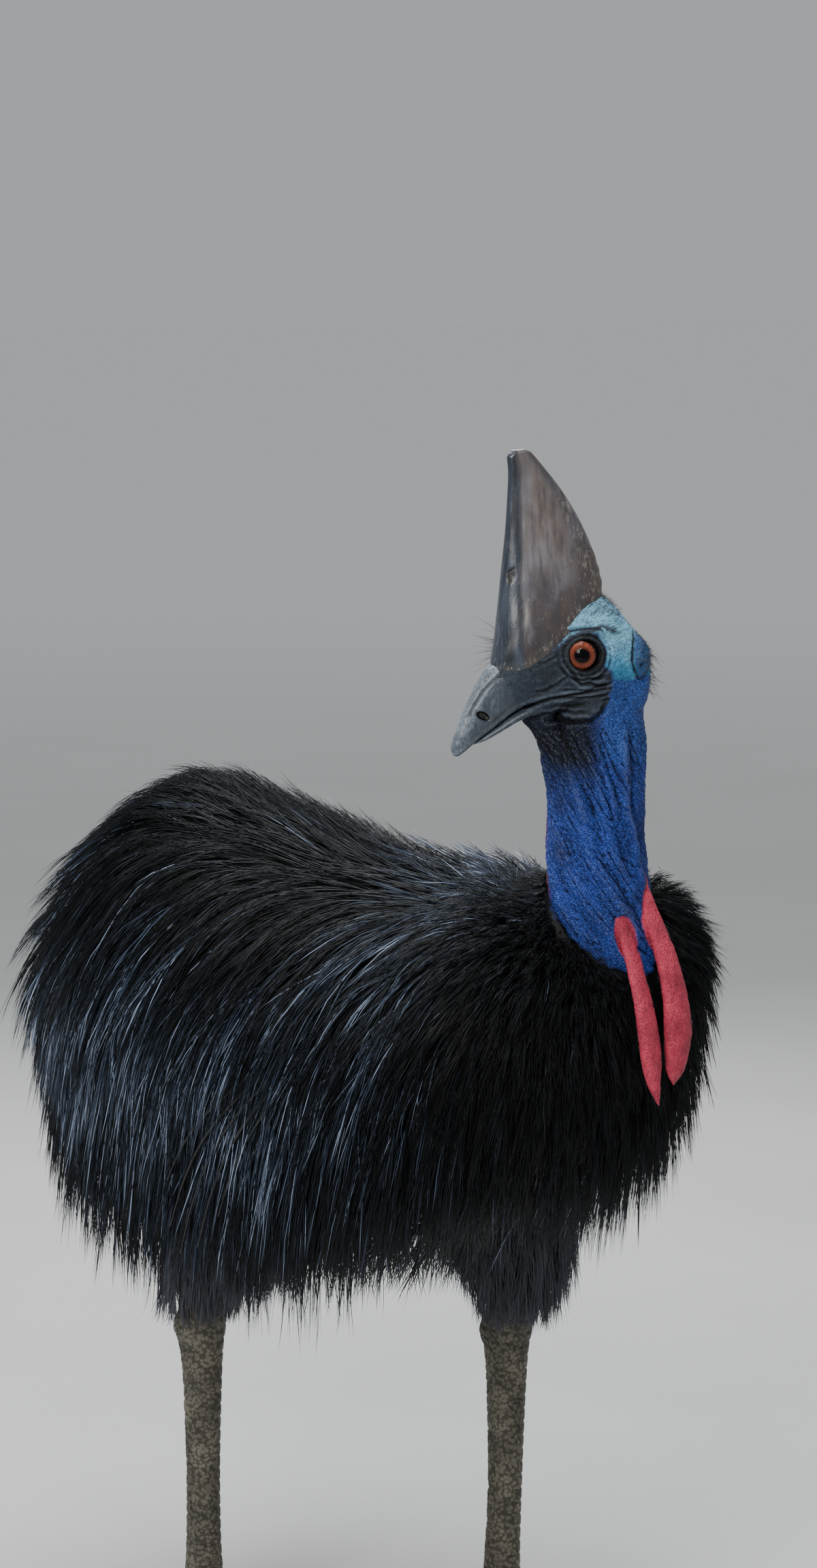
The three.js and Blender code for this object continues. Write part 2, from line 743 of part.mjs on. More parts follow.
// Head pieces
addPiece(headGroup, "head", headSolid(), SKIN_BLACK);
addPiece(headGroup, "bill_upper", upperBill(), BILL, 0.4);
addPiece(headGroup, "bill_lower", lowerBill(), BILL, 0.4);
addPiece(headGroup, "casque", casqueSolid(), HORN, 0.45);
for (const [name, s] of [
  ["eye_left", 1],
  ["eye_right", -1],
]) {
  const eye = addPiece(
    headGroup,
    name,
    ball(EYE_RADIUS, 0, 0, 0, 12),
    IRIS,
    0.1,
  );
  eye.position.set(EYE_AT.u, s * EYE_AT.v, EYE_AT.w);
}

// Neck, wattles, wings and torso
const grownCore = torsoCore(GAP);
const necks = [neckPiece(0), neckPiece(1), largest(neckPiece(2).subtract(belowCollar(GAP)))];
["neck_upper", "neck_middle", "neck_lower"].forEach((name, i) => {
  addPiece(bird, name, necks[i], SKIN_BLUE);
});
const neckClear = neckPiece(1, GAP).add(neckPiece(2, GAP).subtract(belowCollar(0)));
let clear = neckClear;
for (const s of ["left", "right"]) {
  addPiece(bird, "wattle_" + s, largest(wattleForms[s].solid(8, 9).subtract(neckClear)), WATTLE);
  clear = clear.add(wattleForms[s].solid(8, 9, GAP));
}
const wings = { left: wingSolid(1), right: wingSolid(-1) };
const thighs = {};
for (const [name, leg] of Object.entries(LEG)) {
  const form = thighForm(leg);
  const locks = thighLocks(form, leg).map((lock) => lockSolid(lock));
  const shank = shankForm(leg).solid(10, 10, GAP);
  const whole = wasm.Manifold.union([form.solid(12, 6), ...locks]);
  thighs[name] = largest(whole.subtract(grownCore).subtract(shank));
  addPiece(bird, "thigh_" + name, thighs[name], PLUMAGE);
  addPiece(bird, "wing_" + name, wings[name], QUILL, 0.4);
}
const coat = wasm.Manifold.union(torsoLocks(swollen(Object.values(thighs))));
const core = torsoCore().subtract(aboveCollar(0));
const torso = core.add(coat.subtract(clear)).subtract(swollen(Object.values(wings)));
addPiece(bird, "torso", largest(torso), PLUMAGE);

// Legs and feet
for (const [name, leg] of Object.entries(LEG)) {
  const shank = shankForm(leg);
  const shankSolid = largest(shank.solid(10, 10).subtract(floor));
  addPiece(bird, "shank_" + name, shankSolid, LEG_SKIN, 0.6);
  const shankClear = shank.solid(10, 10, GAP);
  let taken = shankClear;
  for (const [toeName, toe] of Object.entries(TOES)) {
    const form = toeForm(leg, toe);
    const body = largest(
      form.solid(8, 7).subtract(floor).subtract(taken),
    );
    addPiece(bird, `toe_${toeName}_${name}`, body, LEG_SKIN, 0.6);
    taken = taken.add(form.solid(8, 7, GAP));
    const claw = clawForm(leg, toe).solid(6, 4);
    const clear = form.solid(8, 7, GAP);
    addPiece(
      bird,
      `claw_${toeName}_${name}`,
      largest(claw.subtract(clear).subtract(floor)),
      CLAW,
      0.35,
    );
  }
}

// The origin is on the floor, under the middle of the whole bird
bird.updateMatrixWorld(true);
const bounds = new THREE.Box3().setFromObject(bird);
const centre = bounds.getCenter(new THREE.Vector3());
bird.position.set(-centre.x, -centre.y, -bounds.min.z);

export default bird;
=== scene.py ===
import math
from itertools import product

import bpy
import numpy as np
from mathutils import Matrix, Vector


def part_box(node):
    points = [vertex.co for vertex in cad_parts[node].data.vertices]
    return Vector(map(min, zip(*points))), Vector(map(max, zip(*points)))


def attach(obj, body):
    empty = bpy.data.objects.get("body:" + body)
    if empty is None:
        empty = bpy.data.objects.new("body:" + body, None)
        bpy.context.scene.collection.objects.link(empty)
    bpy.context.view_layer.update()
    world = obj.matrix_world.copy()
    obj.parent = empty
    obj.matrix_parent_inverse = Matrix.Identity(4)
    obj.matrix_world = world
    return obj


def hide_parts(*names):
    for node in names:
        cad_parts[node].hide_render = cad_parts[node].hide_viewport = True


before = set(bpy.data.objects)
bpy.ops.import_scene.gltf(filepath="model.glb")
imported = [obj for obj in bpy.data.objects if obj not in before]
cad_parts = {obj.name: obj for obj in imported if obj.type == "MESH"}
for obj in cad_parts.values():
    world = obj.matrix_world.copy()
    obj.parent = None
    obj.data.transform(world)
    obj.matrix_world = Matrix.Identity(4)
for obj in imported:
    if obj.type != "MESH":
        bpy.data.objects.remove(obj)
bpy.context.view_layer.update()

bl_info = {
    "name": "Cassowary model",
    "version": (1, 0, 0),
    "blender": (4, 5, 0),
    "location": "3D View > Sidebar > Cassowary",
    "description": "Dresses the still cassowary with skin, horn, eyes, claws and plumage",
    "category": "Object",
}

MM = 0.001
# The bird's own frame: millimetres, x to its left, -y ahead, z up. The head has a frame of its
# own: u ahead along the bill, v to the head's left, w up.
HEAD_TURN = 110.0
HEAD_ORIGIN = np.array([-30.0, -360.0, 970.0])
HEADING = math.radians(270.0 - HEAD_TURN)
AHEAD = np.array([math.cos(HEADING), math.sin(HEADING), 0.0])
ASIDE = np.array([-math.sin(HEADING), math.cos(HEADING), 0.0])
UP = np.array([0.0, 0.0, 1.0])
DOWN = -UP
EYE_U, EYE_V, EYE_W, EYE_RADIUS = 23.4, 25.5, 77.2, 15.5
# How far the middle of the pupil lies ahead of the ball's middle
GAZE_AHEAD = 5.0


def columns(*parts):
    return np.stack(parts, 1)


def from_head(q):
    """Head frame to bird frame."""
    return HEAD_ORIGIN + q[:, 0:1] * AHEAD + q[:, 1:2] * ASIDE + q[:, 2:3] * UP


def to_head(p):
    """Bird frame to head frame."""
    d = p - HEAD_ORIGIN
    return columns(d @ AHEAD, d @ ASIDE, d[:, 2])


# Where the bird's frame stands in the row's frame, from the eye that both know
LEFT_EYE = MM * from_head(np.array([[EYE_U, EYE_V, EYE_W]]))[0]
SHIFT = np.mean(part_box("eye_left"), axis=0) - LEFT_EYE


# Numbers and fields


def ease(low, high, x):
    """0 at low, 1 at high, with a smooth rise between them."""
    t = np.clip((x - low) / (high - low), 0.0, 1.0)
    return t * t * (3 - 2 * t)


def bell(x, width, middle=0.0):
    """1 at the middle, falling off to 0 in about two widths."""
    return np.exp(-(((x - middle) / width) ** 2))


def unit(v):
    return v / np.maximum(np.linalg.norm(v, axis=-1, keepdims=True), 1e-9)


def lattice(place, salt=0):
    """A repeatable number from 0 to 1 for each whole-numbered place."""
    i, j, k = place.astype(np.int64).T
    n = (i * 73856093 ^ j * 19349663 ^ k * 83492791 ^ salt * 2654435) & 0xFFFFFFFF
    n = ((n ^ (n >> 15)) * 2246822519) & 0xFFFFFFFF
    n = ((n ^ (n >> 13)) * 3266489917) & 0xFFFFFFFF
    return ((n ^ (n >> 16)) & 0xFFFFFF) / float(0x1000000)


def ripple(p, size, salt=0):
    """Smooth noise from -1 to 1 whose lumps are about size across."""
    q = p / size
    base = np.floor(q)
    f = q - base
    f = f * f * (3 - 2 * f)
    total = np.zeros(len(p))
    for corner in product((0, 1), repeat=3):
        total += np.prod(np.where(corner, f, 1 - f), axis=1) * lattice(base + corner, salt)
    return total * 2 - 1


def cell_gap(p, size, salt=0):
    """How much farther each place is from the next seed than from its own: 0 between cells."""
    q = p / size
    base = np.floor(q)
    first, second = np.full((2, len(p)), 9.0)
    for step in product((-1, 0, 1), repeat=3):
        cell = base + step
        seed = cell + columns(*(lattice(cell, salt + k) for k in (1, 2, 3)))
        d = np.linalg.norm(q - seed, axis=1)
        second = np.minimum(second, np.maximum(first, d))
        first = np.minimum(first, d)
    return second - first


def crease_net(p, size, salt=0):
    """Thin furrows that run on and fork, about size apart."""
    return bell(ripple(p, size, salt), 0.14)


def line_distance(q, line):
    """Distance of each 2-D place from a polyline, and how far along it that is, from 0 to 1."""
    line = np.array(line, float)
    runs = np.linalg.norm(np.diff(line, axis=0), axis=1)
    starts = np.concatenate([[0], np.cumsum(runs)])
    best = np.full(len(q), 1e9)
    along = np.zeros(len(q))
    for a, b, start, run in zip(line[:-1], line[1:], starts, runs):
        t = np.clip(((q - a) @ (b - a)) / run**2, 0, 1)
        d = np.linalg.norm(q - a - t[:, None] * (b - a), axis=1)
        nearer = d < best
        best = np.where(nearer, d, best)
        along = np.where(nearer, (start + t * run) / starts[-1], along)
    return best, along


def within(q, outline, soft):
    """1 inside a 2-D outline, 0 outside, with a soft edge."""
    closed = np.array([*outline, outline[0]], float)
    inside = np.zeros(len(q), bool)
    for (ax, ay), (bx, by) in zip(closed[:-1], closed[1:]):
        crosses = (ay > q[:, 1]) != (by > q[:, 1])
        with np.errstate(divide="ignore", invalid="ignore"):
            x = ax + (q[:, 1] - ay) * (bx - ax) / (by - ay)
        inside ^= crosses & (q[:, 0] < x)
    d, _ = line_distance(q, closed)
    return ease(-soft, soft, np.where(inside, d, -d))


# Forms and meshes


class Form:
    """A form swept through stations: each has a middle and two half axes."""

    def __init__(self, station, rows, skew=0.0, power=2.0):
        table = np.array([np.hstack(station(*row)) for row in rows], float)
        self.table = np.vstack([2 * table[0] - table[1], table, 2 * table[-1] - table[-2]])
        self.skew = skew
        self.power = power

    def lines(self, share):
        """Middle and half axes at each share of the way from the first station to the last."""
        spans = len(self.table) - 3
        x = np.clip(share, 0, 1) * spans
        i = np.minimum(x.astype(int), spans - 1)
        t = (x - i)[..., None]
        p0, p1, p2, p3 = (self.table[i + k] for k in range(4))
        t0 = (p2 - p0) / 2
        t1 = (p3 - p1) / 2
        row = p1 + t * (t0 + t * (3 * (p2 - p1) - 2 * t0 - t1 + t * (2 * (p1 - p2) + t0 + t1)))
        return row[..., 0:3], row[..., 3:6], row[..., 6:9]

    def point(self, share, angle, grow=0.0):
        middle, major, minor = self.lines(share)
        c, s = np.cos(angle), np.sin(angle)
        along = np.sign(c) * np.abs(c) ** (2 / self.power)
        across = np.sign(s) * np.abs(s) ** (2 / self.power) * (1 + self.skew * along)
        grow = np.asarray(grow)[..., None]
        major = major + unit(major) * grow
        minor = minor + unit(minor) * grow
        return middle + major * along[..., None] + minor * across[..., None]

    def slopes(self, share, angle, step):
        """How the surface runs, for small steps along it and round it."""
        along = self.point(share + step, angle) - self.point(share - step, angle)
        return along, self.point(share, angle + 0.01) - self.point(share, angle - 0.01)

    def normal(self, share, angle):
        low, high = np.maximum(share - 0.004, 0), np.minimum(share + 0.004, 1)
        along = self.point(high, angle) - self.point(low, angle)
        around = self.point(share, angle + 0.02) - self.point(share, angle - 0.02)
        out = unit(np.cross(along, around))
        away = self.point(share, angle) - self.lines(share)[0]
        flip = np.sum(out * away, -1) < 0
        return np.where(flip[..., None], -out, out)

    def tangent(self, share):
        return unit(self.lines(share + 0.002)[0] - self.lines(share - 0.002)[0])


def ring_faces(rows, around):
    """The four-sided faces between rings of vertices."""
    row = np.arange(rows)[:, None] * around
    here = np.arange(around)[None, :]
    after = (here + 1) % around
    faces = [row + here, row + after, row + around + after, row + around + here]
    return np.stack(faces, -1).reshape(-1, 4)


def shell(rings, ends):
    """A closed shell over rings of vertices, with a fan at each end and its faces turned out."""
    rows, around = len(rings) - 1, rings.shape[1]
    vertices = np.vstack([rings.reshape(-1, 3), ends])
    quads = ring_faces(rows, around)
    here = np.arange(around)
    after = (here + 1) % around
    last, count = rows * around, (rows + 1) * around
    first_cap = columns(after, here, np.full(around, count))
    last_cap = columns(last + here, last + after, np.full(around, count + 1))
    caps = np.vstack([first_cap, last_cap])
    triangles = np.vstack([quads[:, [0, 1, 2]], quads[:, [0, 2, 3]], caps])
    a, b, c = (vertices[triangles[:, k]] for k in range(3))
    if np.sum(a * np.cross(b, c)) < 0:
        quads, caps = quads[:, ::-1], caps[:, ::-1]
    return vertices, [quads, caps]


def sweep(form, around, along, grow=0.0, start=0.0, end=1.0):
    """A closed shell over a form, grown by a depth or by a function of the share."""
    angles = np.arange(around) / around * math.tau
    share, angle = np.meshgrid(np.linspace(start, end, along + 1), angles, indexing="ij")
    depth = grow(share) if callable(grow) else grow
    return shell(form.point(share, angle, depth), form.lines(np.array([start, end]))[0])


def prism(outline, half_width):
    """A closed block from an outline in the head's side view."""
    u, w = np.array(outline, float).T
    left = columns(u, np.full(len(u), half_width), w)
    rings = np.stack([left, left * [1, -1, 1]])
    vertices, faces = shell(rings, rings.mean(1))
    return from_head(vertices), faces


def joined(shells):
    """Several shells as one."""
    faces, count = [], 0
    for vertices, own in shells:
        faces.extend(f + count for f in own)
        count += len(vertices)
    return np.vstack([vertices for vertices, _ in shells]), faces


def to_mesh(name, vertices, faces):
    """A Blender mesh, in metres in the row's frame, from a shell in the bird's millimetres."""
    mesh = bpy.data.meshes.new(name)
    loops = np.concatenate([f.ravel() for f in faces]).astype(np.int32)
    totals = np.concatenate([np.full(len(f), f.shape[1]) for f in faces])
    starts = np.concatenate([[0], np.cumsum(totals)[:-1]]).astype(np.int32)
    mesh.vertices.add(len(vertices))
    mesh.loops.add(len(loops))
    mesh.polygons.add(len(totals))
    mesh.loops.foreach_set("vertex_index", loops)
    mesh.polygons.foreach_set("loop_start", starts)
    place(mesh, vertices)
    mesh.update(calc_edges=True)
    return mesh


def place(mesh, points):
    mesh.vertices.foreach_set("co", (points * MM + SHIFT).astype(np.float32).ravel())


def read(items, name, width, kind=np.float32):
    """One property of every item, a row for each."""
    flat = np.empty(len(items) * width, kind)
    items.foreach_get(name, flat)
    return flat.reshape(-1, width)


def points_of(mesh):
    return (read(mesh.vertices, "co", 3).astype(float) - SHIFT) / MM


def normals_of(mesh):
    mesh.update()
    return read(mesh.vertex_normals, "vector", 3).astype(float)


def paint(mesh, name, values):
    """A colour or a number at each vertex."""
    if values.ndim == 1:
        layer = mesh.attributes.new(name, "FLOAT", "POINT")
        layer.data.foreach_set("value", values.astype(np.float32))
    else:
        layer = mesh.attributes.new(name, "FLOAT_COLOR", "POINT")
        full = np.ones((len(values), 4), np.float32)
        full[:, :3] = values
        layer.data.foreach_set("color", full.ravel())


def relax(points, mesh, rounds):
    """Evens out a mesh by drawing each vertex half way to its neighbours' middle."""
    a, b = read(mesh.edges, "vertices", 2, np.int32).T
    ends, others = np.concatenate([a, b]), np.concatenate([b, a])
    count = np.bincount(ends, minlength=len(points))[:, None]
    for _ in range(rounds):
        total = columns(*(np.bincount(ends, points[others, k], len(points)) for k in range(3)))
        points = points + 0.5 * (total / count - points)
    return points


def linked(name, data):
    """A new object in the scene."""
    obj = bpy.data.objects.new(name, data)
    bpy.context.scene.collection.objects.link(obj)
    return obj


def changed(mesh, kind, other=None, **settings):
    """The mesh that one modifier makes of a mesh. The meshes it was made from are dropped."""
    holders = [linked("holder", data) for data in (mesh, other) if data is not None]
    modifier = holders[0].modifiers.new(kind, kind)
    if other is not None:
        settings["object"] = holders[1]
    for key, value in settings.items():
        setattr(modifier, key, value)
    graph = bpy.context.evaluated_depsgraph_get()
    made = bpy.data.meshes.new_from_object(holders[0].evaluated_get(graph))
    for holder in holders:
        data = holder.data
        bpy.data.objects.remove(holder)
        bpy.data.meshes.remove(data)
    return made


def remeshed(name, shells, size):
    """One closed skin round overlapping shells."""
    mesh = to_mesh(name, *joined(shells))
    return changed(mesh, "REMESH", mode="VOXEL", voxel_size=size * MM, use_smooth_shade=True)


def combined(mesh, other, operation):
    return changed(mesh, "BOOLEAN", other, operation=operation, solver="MANIFOLD")


def piece(name, mesh, material, nodes=()):
    """Puts a finished piece in the scene, on the model's one body."""
    obj = linked(name, mesh)
    mesh.materials.clear()
    mesh.materials.append(material)
    mesh.polygons.foreach_set("use_smooth", np.ones(len(mesh.polygons), bool))
    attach(obj, "root")
    if nodes:
        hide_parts(*nodes)


# The body's forms, in millimetres


def at(left, forward, up):
    return np.array([left, -forward, up], float)


def torso_station(forward, up, height, width, tilt):
    t = math.radians(tilt)
    major = at(0, -height * math.sin(t), height * math.cos(t))
    return at(0, forward, up), major, at(width, 0, 0)


TORSO = Form(
    torso_station,
    [
        (-462, 652, 26, 34, -20), (-432, 658, 108, 86, -12), (-365, 662, 180, 140, -6),
        (-265, 658, 222, 182, 0), (-140, 642, 220, 207, 2), (0, 632, 204, 218, 0),
        (120, 640, 193, 211, 2), (211, 668, 169, 188, 13), (268, 708, 148, 160, 34),
        (315, 758, 114, 132, 52), (337, 800, 76, 100, 74), (350, 844, 58, 68, 84),
    ],
    skew=-0.08,
)
CORE_DEPTH = 24.0


def core_depth(share):
    """How far the skin lies under the coat's surface, less near the neck."""
    return CORE_DEPTH * (1 - 0.6 * ease(0.78, 0.96, share))


def neck_station(left, forward, up, deep, wide, turn):
    a = math.radians(270 - turn)
    major = np.array([math.cos(a), math.sin(a), 0]) * deep
    return at(left, forward, up), major, np.array([-math.sin(a), math.cos(a), 0]) * wide


NECK = Form(
    neck_station,
    [
        (-27, 361, 1005, 42, 36, 110), (-28, 359, 970, 46, 39, 110),
        (-27.5, 358.5, 925, 46, 40, 98), (-25, 357, 880, 47.5, 42, 76),
        (-20, 355, 835, 50, 47, 48), (-10, 353, 790, 56, 51, 18),
        (0, 350, 745, 63, 57, 0), (0, 335, 700, 66, 60, 0),
    ],
)
NECK_TOP, NECK_RUN = 1005, 305

# The edge between bare neck and plumage is a plane, high at the nape and low at the throat
EDGE_BACK = at(0, 296, 878)
EDGE_FRONT = at(0, 414, 762)
EDGE_UP = unit(np.cross(EDGE_FRONT - EDGE_BACK, np.array([50.0, 0.0, 18.0])))
EDGE_UP = EDGE_UP * np.sign(EDGE_UP[2])


def above_edge(p):
    """Height over the edge of the plumage, negative where feathers grow."""
    return (p - EDGE_BACK) @ EDGE_UP


def around_neck(points):
    """Each place's direction from the neck's axis in degrees (0 ahead, growing to the bird's
    left), how far out it is, how far out the neck's own skin is there, and the axis."""
    middle, major, minor = NECK.lines(np.clip((NECK_TOP - points[:, 2]) / NECK_RUN, 0, 1))
    x, y = (points - middle)[:, :2].T
    out = np.hypot(x, y)
    a, b = np.linalg.norm(major, axis=1), np.linalg.norm(minor, axis=1)
    along = (x * major[:, 0] + y * major[:, 1]) / a
    across = (x * minor[:, 0] + y * minor[:, 1]) / b
    skin = out / np.maximum(np.hypot(along / a, across / b), 1e-6)
    return np.degrees(np.arctan2(x, -y)), out, skin, middle


def gathered(points, inset=0.0):
    """Draws flesh and feathers in to the neck, along the edge's slant, as they near bare skin."""
    _, out, skin, middle = around_neck(points)
    above = above_edge(points)
    near = ease(-34, 2, above)
    goal = np.minimum(out, skin + 1.5 - inset * ease(-30, -4, above))
    scale = (out + (goal - out) * near) / np.maximum(out, 1e-6)
    drawn = points.copy()
    drawn[:, :2] = middle[:, :2] + (points[:, :2] - middle[:, :2]) * scale[:, None]
    drawn[:, 2] -= (above_edge(drawn) - above) / EDGE_UP[2]
    return drawn


def slice_of(top_u, top_w, bottom_u, bottom_w, width):
    """A station of the head, from its upper and lower edge in the side view."""
    middle = np.array([(top_u + bottom_u) / 2, 0, (top_w + bottom_w) / 2])
    major = np.array([(top_u - bottom_u) / 2, 0, (top_w - bottom_w) / 2])
    return middle, major, np.array([0.0, width, 0.0])


SKULL = Form(
    slice_of,
    [
        (-49.5, 68, -49.5, 62, 3), (-44, 88, -47.5, 40, 22), (-32, 102, -41, 18, 31),
        (-12, 124, -25, 6, 36), (8, 134, -2, 8, 37.5), (28, 130, 16, 17, 37),
        (48, 114, 32, 22, 33), (66, 99, 46, 24, 28.5), (84, 82, 57, 24, 24),
        (99, 70, 68, 27, 19.5), (108, 61, 86, 20, 15), (117, 47, 103, 8, 12),
        (126, 30, 116, -1, 9.5), (134, 12, 126, -9, 7), (140, -5, 134, -14, 4),
        (138, -13, 137, -14, 1),
    ],
    skew=-0.12,
    power=2.15,
)
JAW = Form(
    slice_of,
    [
        (40, 38, 34, 25, 22), (62, 35, 56, 21, 21), (79, 26, 74, 17.5, 16),
        (96, 14, 92, 8, 11.5), (111, 4, 108, -0.5, 7.5), (120, -2.5, 119, -4, 2),
    ],
    power=2.3,
)
THROAT_WEB = Form(
    slice_of,
    [
        (74, 20, 52, 33, 11), (67, 12, 42, 25, 17), (58, 1, 32, 10, 19),
        (50, -16, 24, -8, 19), (43, -52, 20, -46, 14),
    ],
)
CASQUE = Form(
    slice_of,
    [
        (94, 52, 30, 60, 16), (101, 68, -1, 96, 26), (97.5, 92, -5.5, 131, 26.5),
        (94.5, 124, -3, 152, 21), (91.5, 155, 5.5, 176, 16.5), (88.5, 185, 18.5, 202, 12.5),
        (86.5, 215, 35, 227, 9.5), (85.5, 242, 52.5, 248, 7.5), (87.5, 262, 66, 263, 5.5),
    ],
    skew=0.05,
    power=2.2,
)


def wattle(turn, rows):
    """A hanging flap whose broad side is turned by some degrees."""
    a = math.radians(turn)
    broad, flat_way = at(math.cos(a), -math.sin(a), 0), at(math.sin(a), math.cos(a), 0)
    return Form(lambda x, y, z, wide, thick: (at(x, y, z), broad * wide, flat_way * thick), rows)


# The right wattle and the left one
WATTLES = (
    wattle(
        20,
        [
            (-29, 391, 818, 4, 4), (-31, 404, 792, 8, 6.5), (-33, 421, 759, 11, 7.5),
            (-33, 433, 722, 12.5, 8), (-31, 438, 688, 12, 8.5), (-29, 441, 658, 8, 7),
            (-27, 446, 636, 1.5, 1.5),
        ],
    ),
    wattle(
        5,
        [
            (0, 392, 838, 4, 4), (1, 404, 807, 9, 7), (3, 421, 772, 12.5, 7.5),
            (4, 434, 735, 15, 8), (3, 439, 700, 16, 8.5), (1, 439, 668, 12, 7.5),
            (0, 437, 650, 1.5, 1.5),
        ],
    ),
)
STANCE = 105.0
KNEE_OUT = 10.0
LEGS = {
    "left": {"side": 1, "foot": 84, "ankle": 74, "hip": 60},
    "right": {"side": -1, "foot": -136, "ankle": -132, "hip": -40},
}
TOES = {
    "inner": {"spread": -27, "length": 108, "thick": 17, "claw": 105, "claw_thick": 10},
    "middle": {"spread": 2, "length": 160, "thick": 19, "claw": 52, "claw_thick": 9},
    "outer": {"spread": 30, "length": 120, "thick": 16, "claw": 36, "claw_thick": 8},
}


def leg_form(leg, *rows):
    def station(left, forward, up, deep, wide):
        return at(leg["side"] * left, forward, up), at(0, deep, 0), at(wide, 0, 0)

    return Form(station, rows)


def thigh_form(leg):
    hip, ankle, knee = leg["hip"], leg["ankle"], STANCE + KNEE_OUT
    return leg_form(
        leg, (88, hip + 10, 560, 104, 68), (98, hip + 14, 500, 98, 66),
        (111, (hip + ankle) / 2 + 14, 440, 78, 58), (knee, ankle + 14, 395, 54, 45),
        (knee, ankle + 8, 368, 36, 34),
    )


def shank_form(leg):
    foot, ankle, knee = leg["foot"], leg["ankle"], STANCE + KNEE_OUT
    return leg_form(
        leg, (knee, ankle + 26, 400, 22, 18), (knee, ankle + 12, 365, 24, 20),
        (knee, ankle, 335, 28, 25), (STANCE + KNEE_OUT * 0.9, ankle + 2, 300, 23, 19),
        (STANCE + KNEE_OUT / 2, (ankle + foot) / 2, 180, 18.5, 15.5),
        (STANCE, foot - 4, 80, 20, 18), (STANCE, foot, 44, 27, 27),
        (STANCE, foot, 16, 27, 26), (STANCE, foot, -8, 22, 22),
    )


def toe_frame(leg, toe):
    """Where a toe starts, the way it points and the way across it."""
    a = math.radians(toe["spread"]) * leg["side"]
    way = at(math.sin(a), math.cos(a), 0)
    return at(leg["side"] * STANCE, leg["foot"], 0), way, at(math.cos(a), -math.sin(a), 0)


def toe_form(leg, toe):
    root, way, across = toe_frame(leg, toe)
    length, thick = toe["length"], toe["thick"]

    def station(run, up, wide, high):
        middle = root + way * (length * run) + UP * thick * up
        return middle, UP * thick * high, across * thick * wide

    rows = (0, 1.25, 0.8, 1.15), (0.3, 1.0, 1.0, 1.15), (0.5, 0.85, 0.92, 1.0)
    tip = (0.75, 0.82, 0.95, 0.98), (0.95, 0.72, 0.8, 0.88), (1.02, 0.7, 0.35, 0.4)
    return Form(station, rows + tip)


def claw_form(leg, toe):
    root, way, across = toe_frame(leg, toe)
    r, thick = toe["claw_thick"], toe["thick"]

    def station(share, up, radius):
        middle = root + way * (toe["length"] * 0.9 + toe["claw"] * share * 1.1) + UP * up
        return middle, UP * radius, across * radius * 0.85

    rows = (
        (-0.08, 0.85 * thick, r * 0.9), (0.15, 0.88 * thick, r), (0.45, 0.8 * thick, r * 0.78),
        (0.75, 0.58 * thick, r * 0.48), (1.0, 0.25 * thick, 0.8),
    )
    return Form(station, rows)


# Materials


def linear(code):
    """A colour such as 0x24262a in the linear values that a shader takes."""
    parts = [((code >> shift) & 255) / 255 for shift in (16, 8, 0)]
    return np.array([c / 12.92 if c <= 0.04045 else ((c + 0.055) / 1.055) ** 2.4 for c in parts])


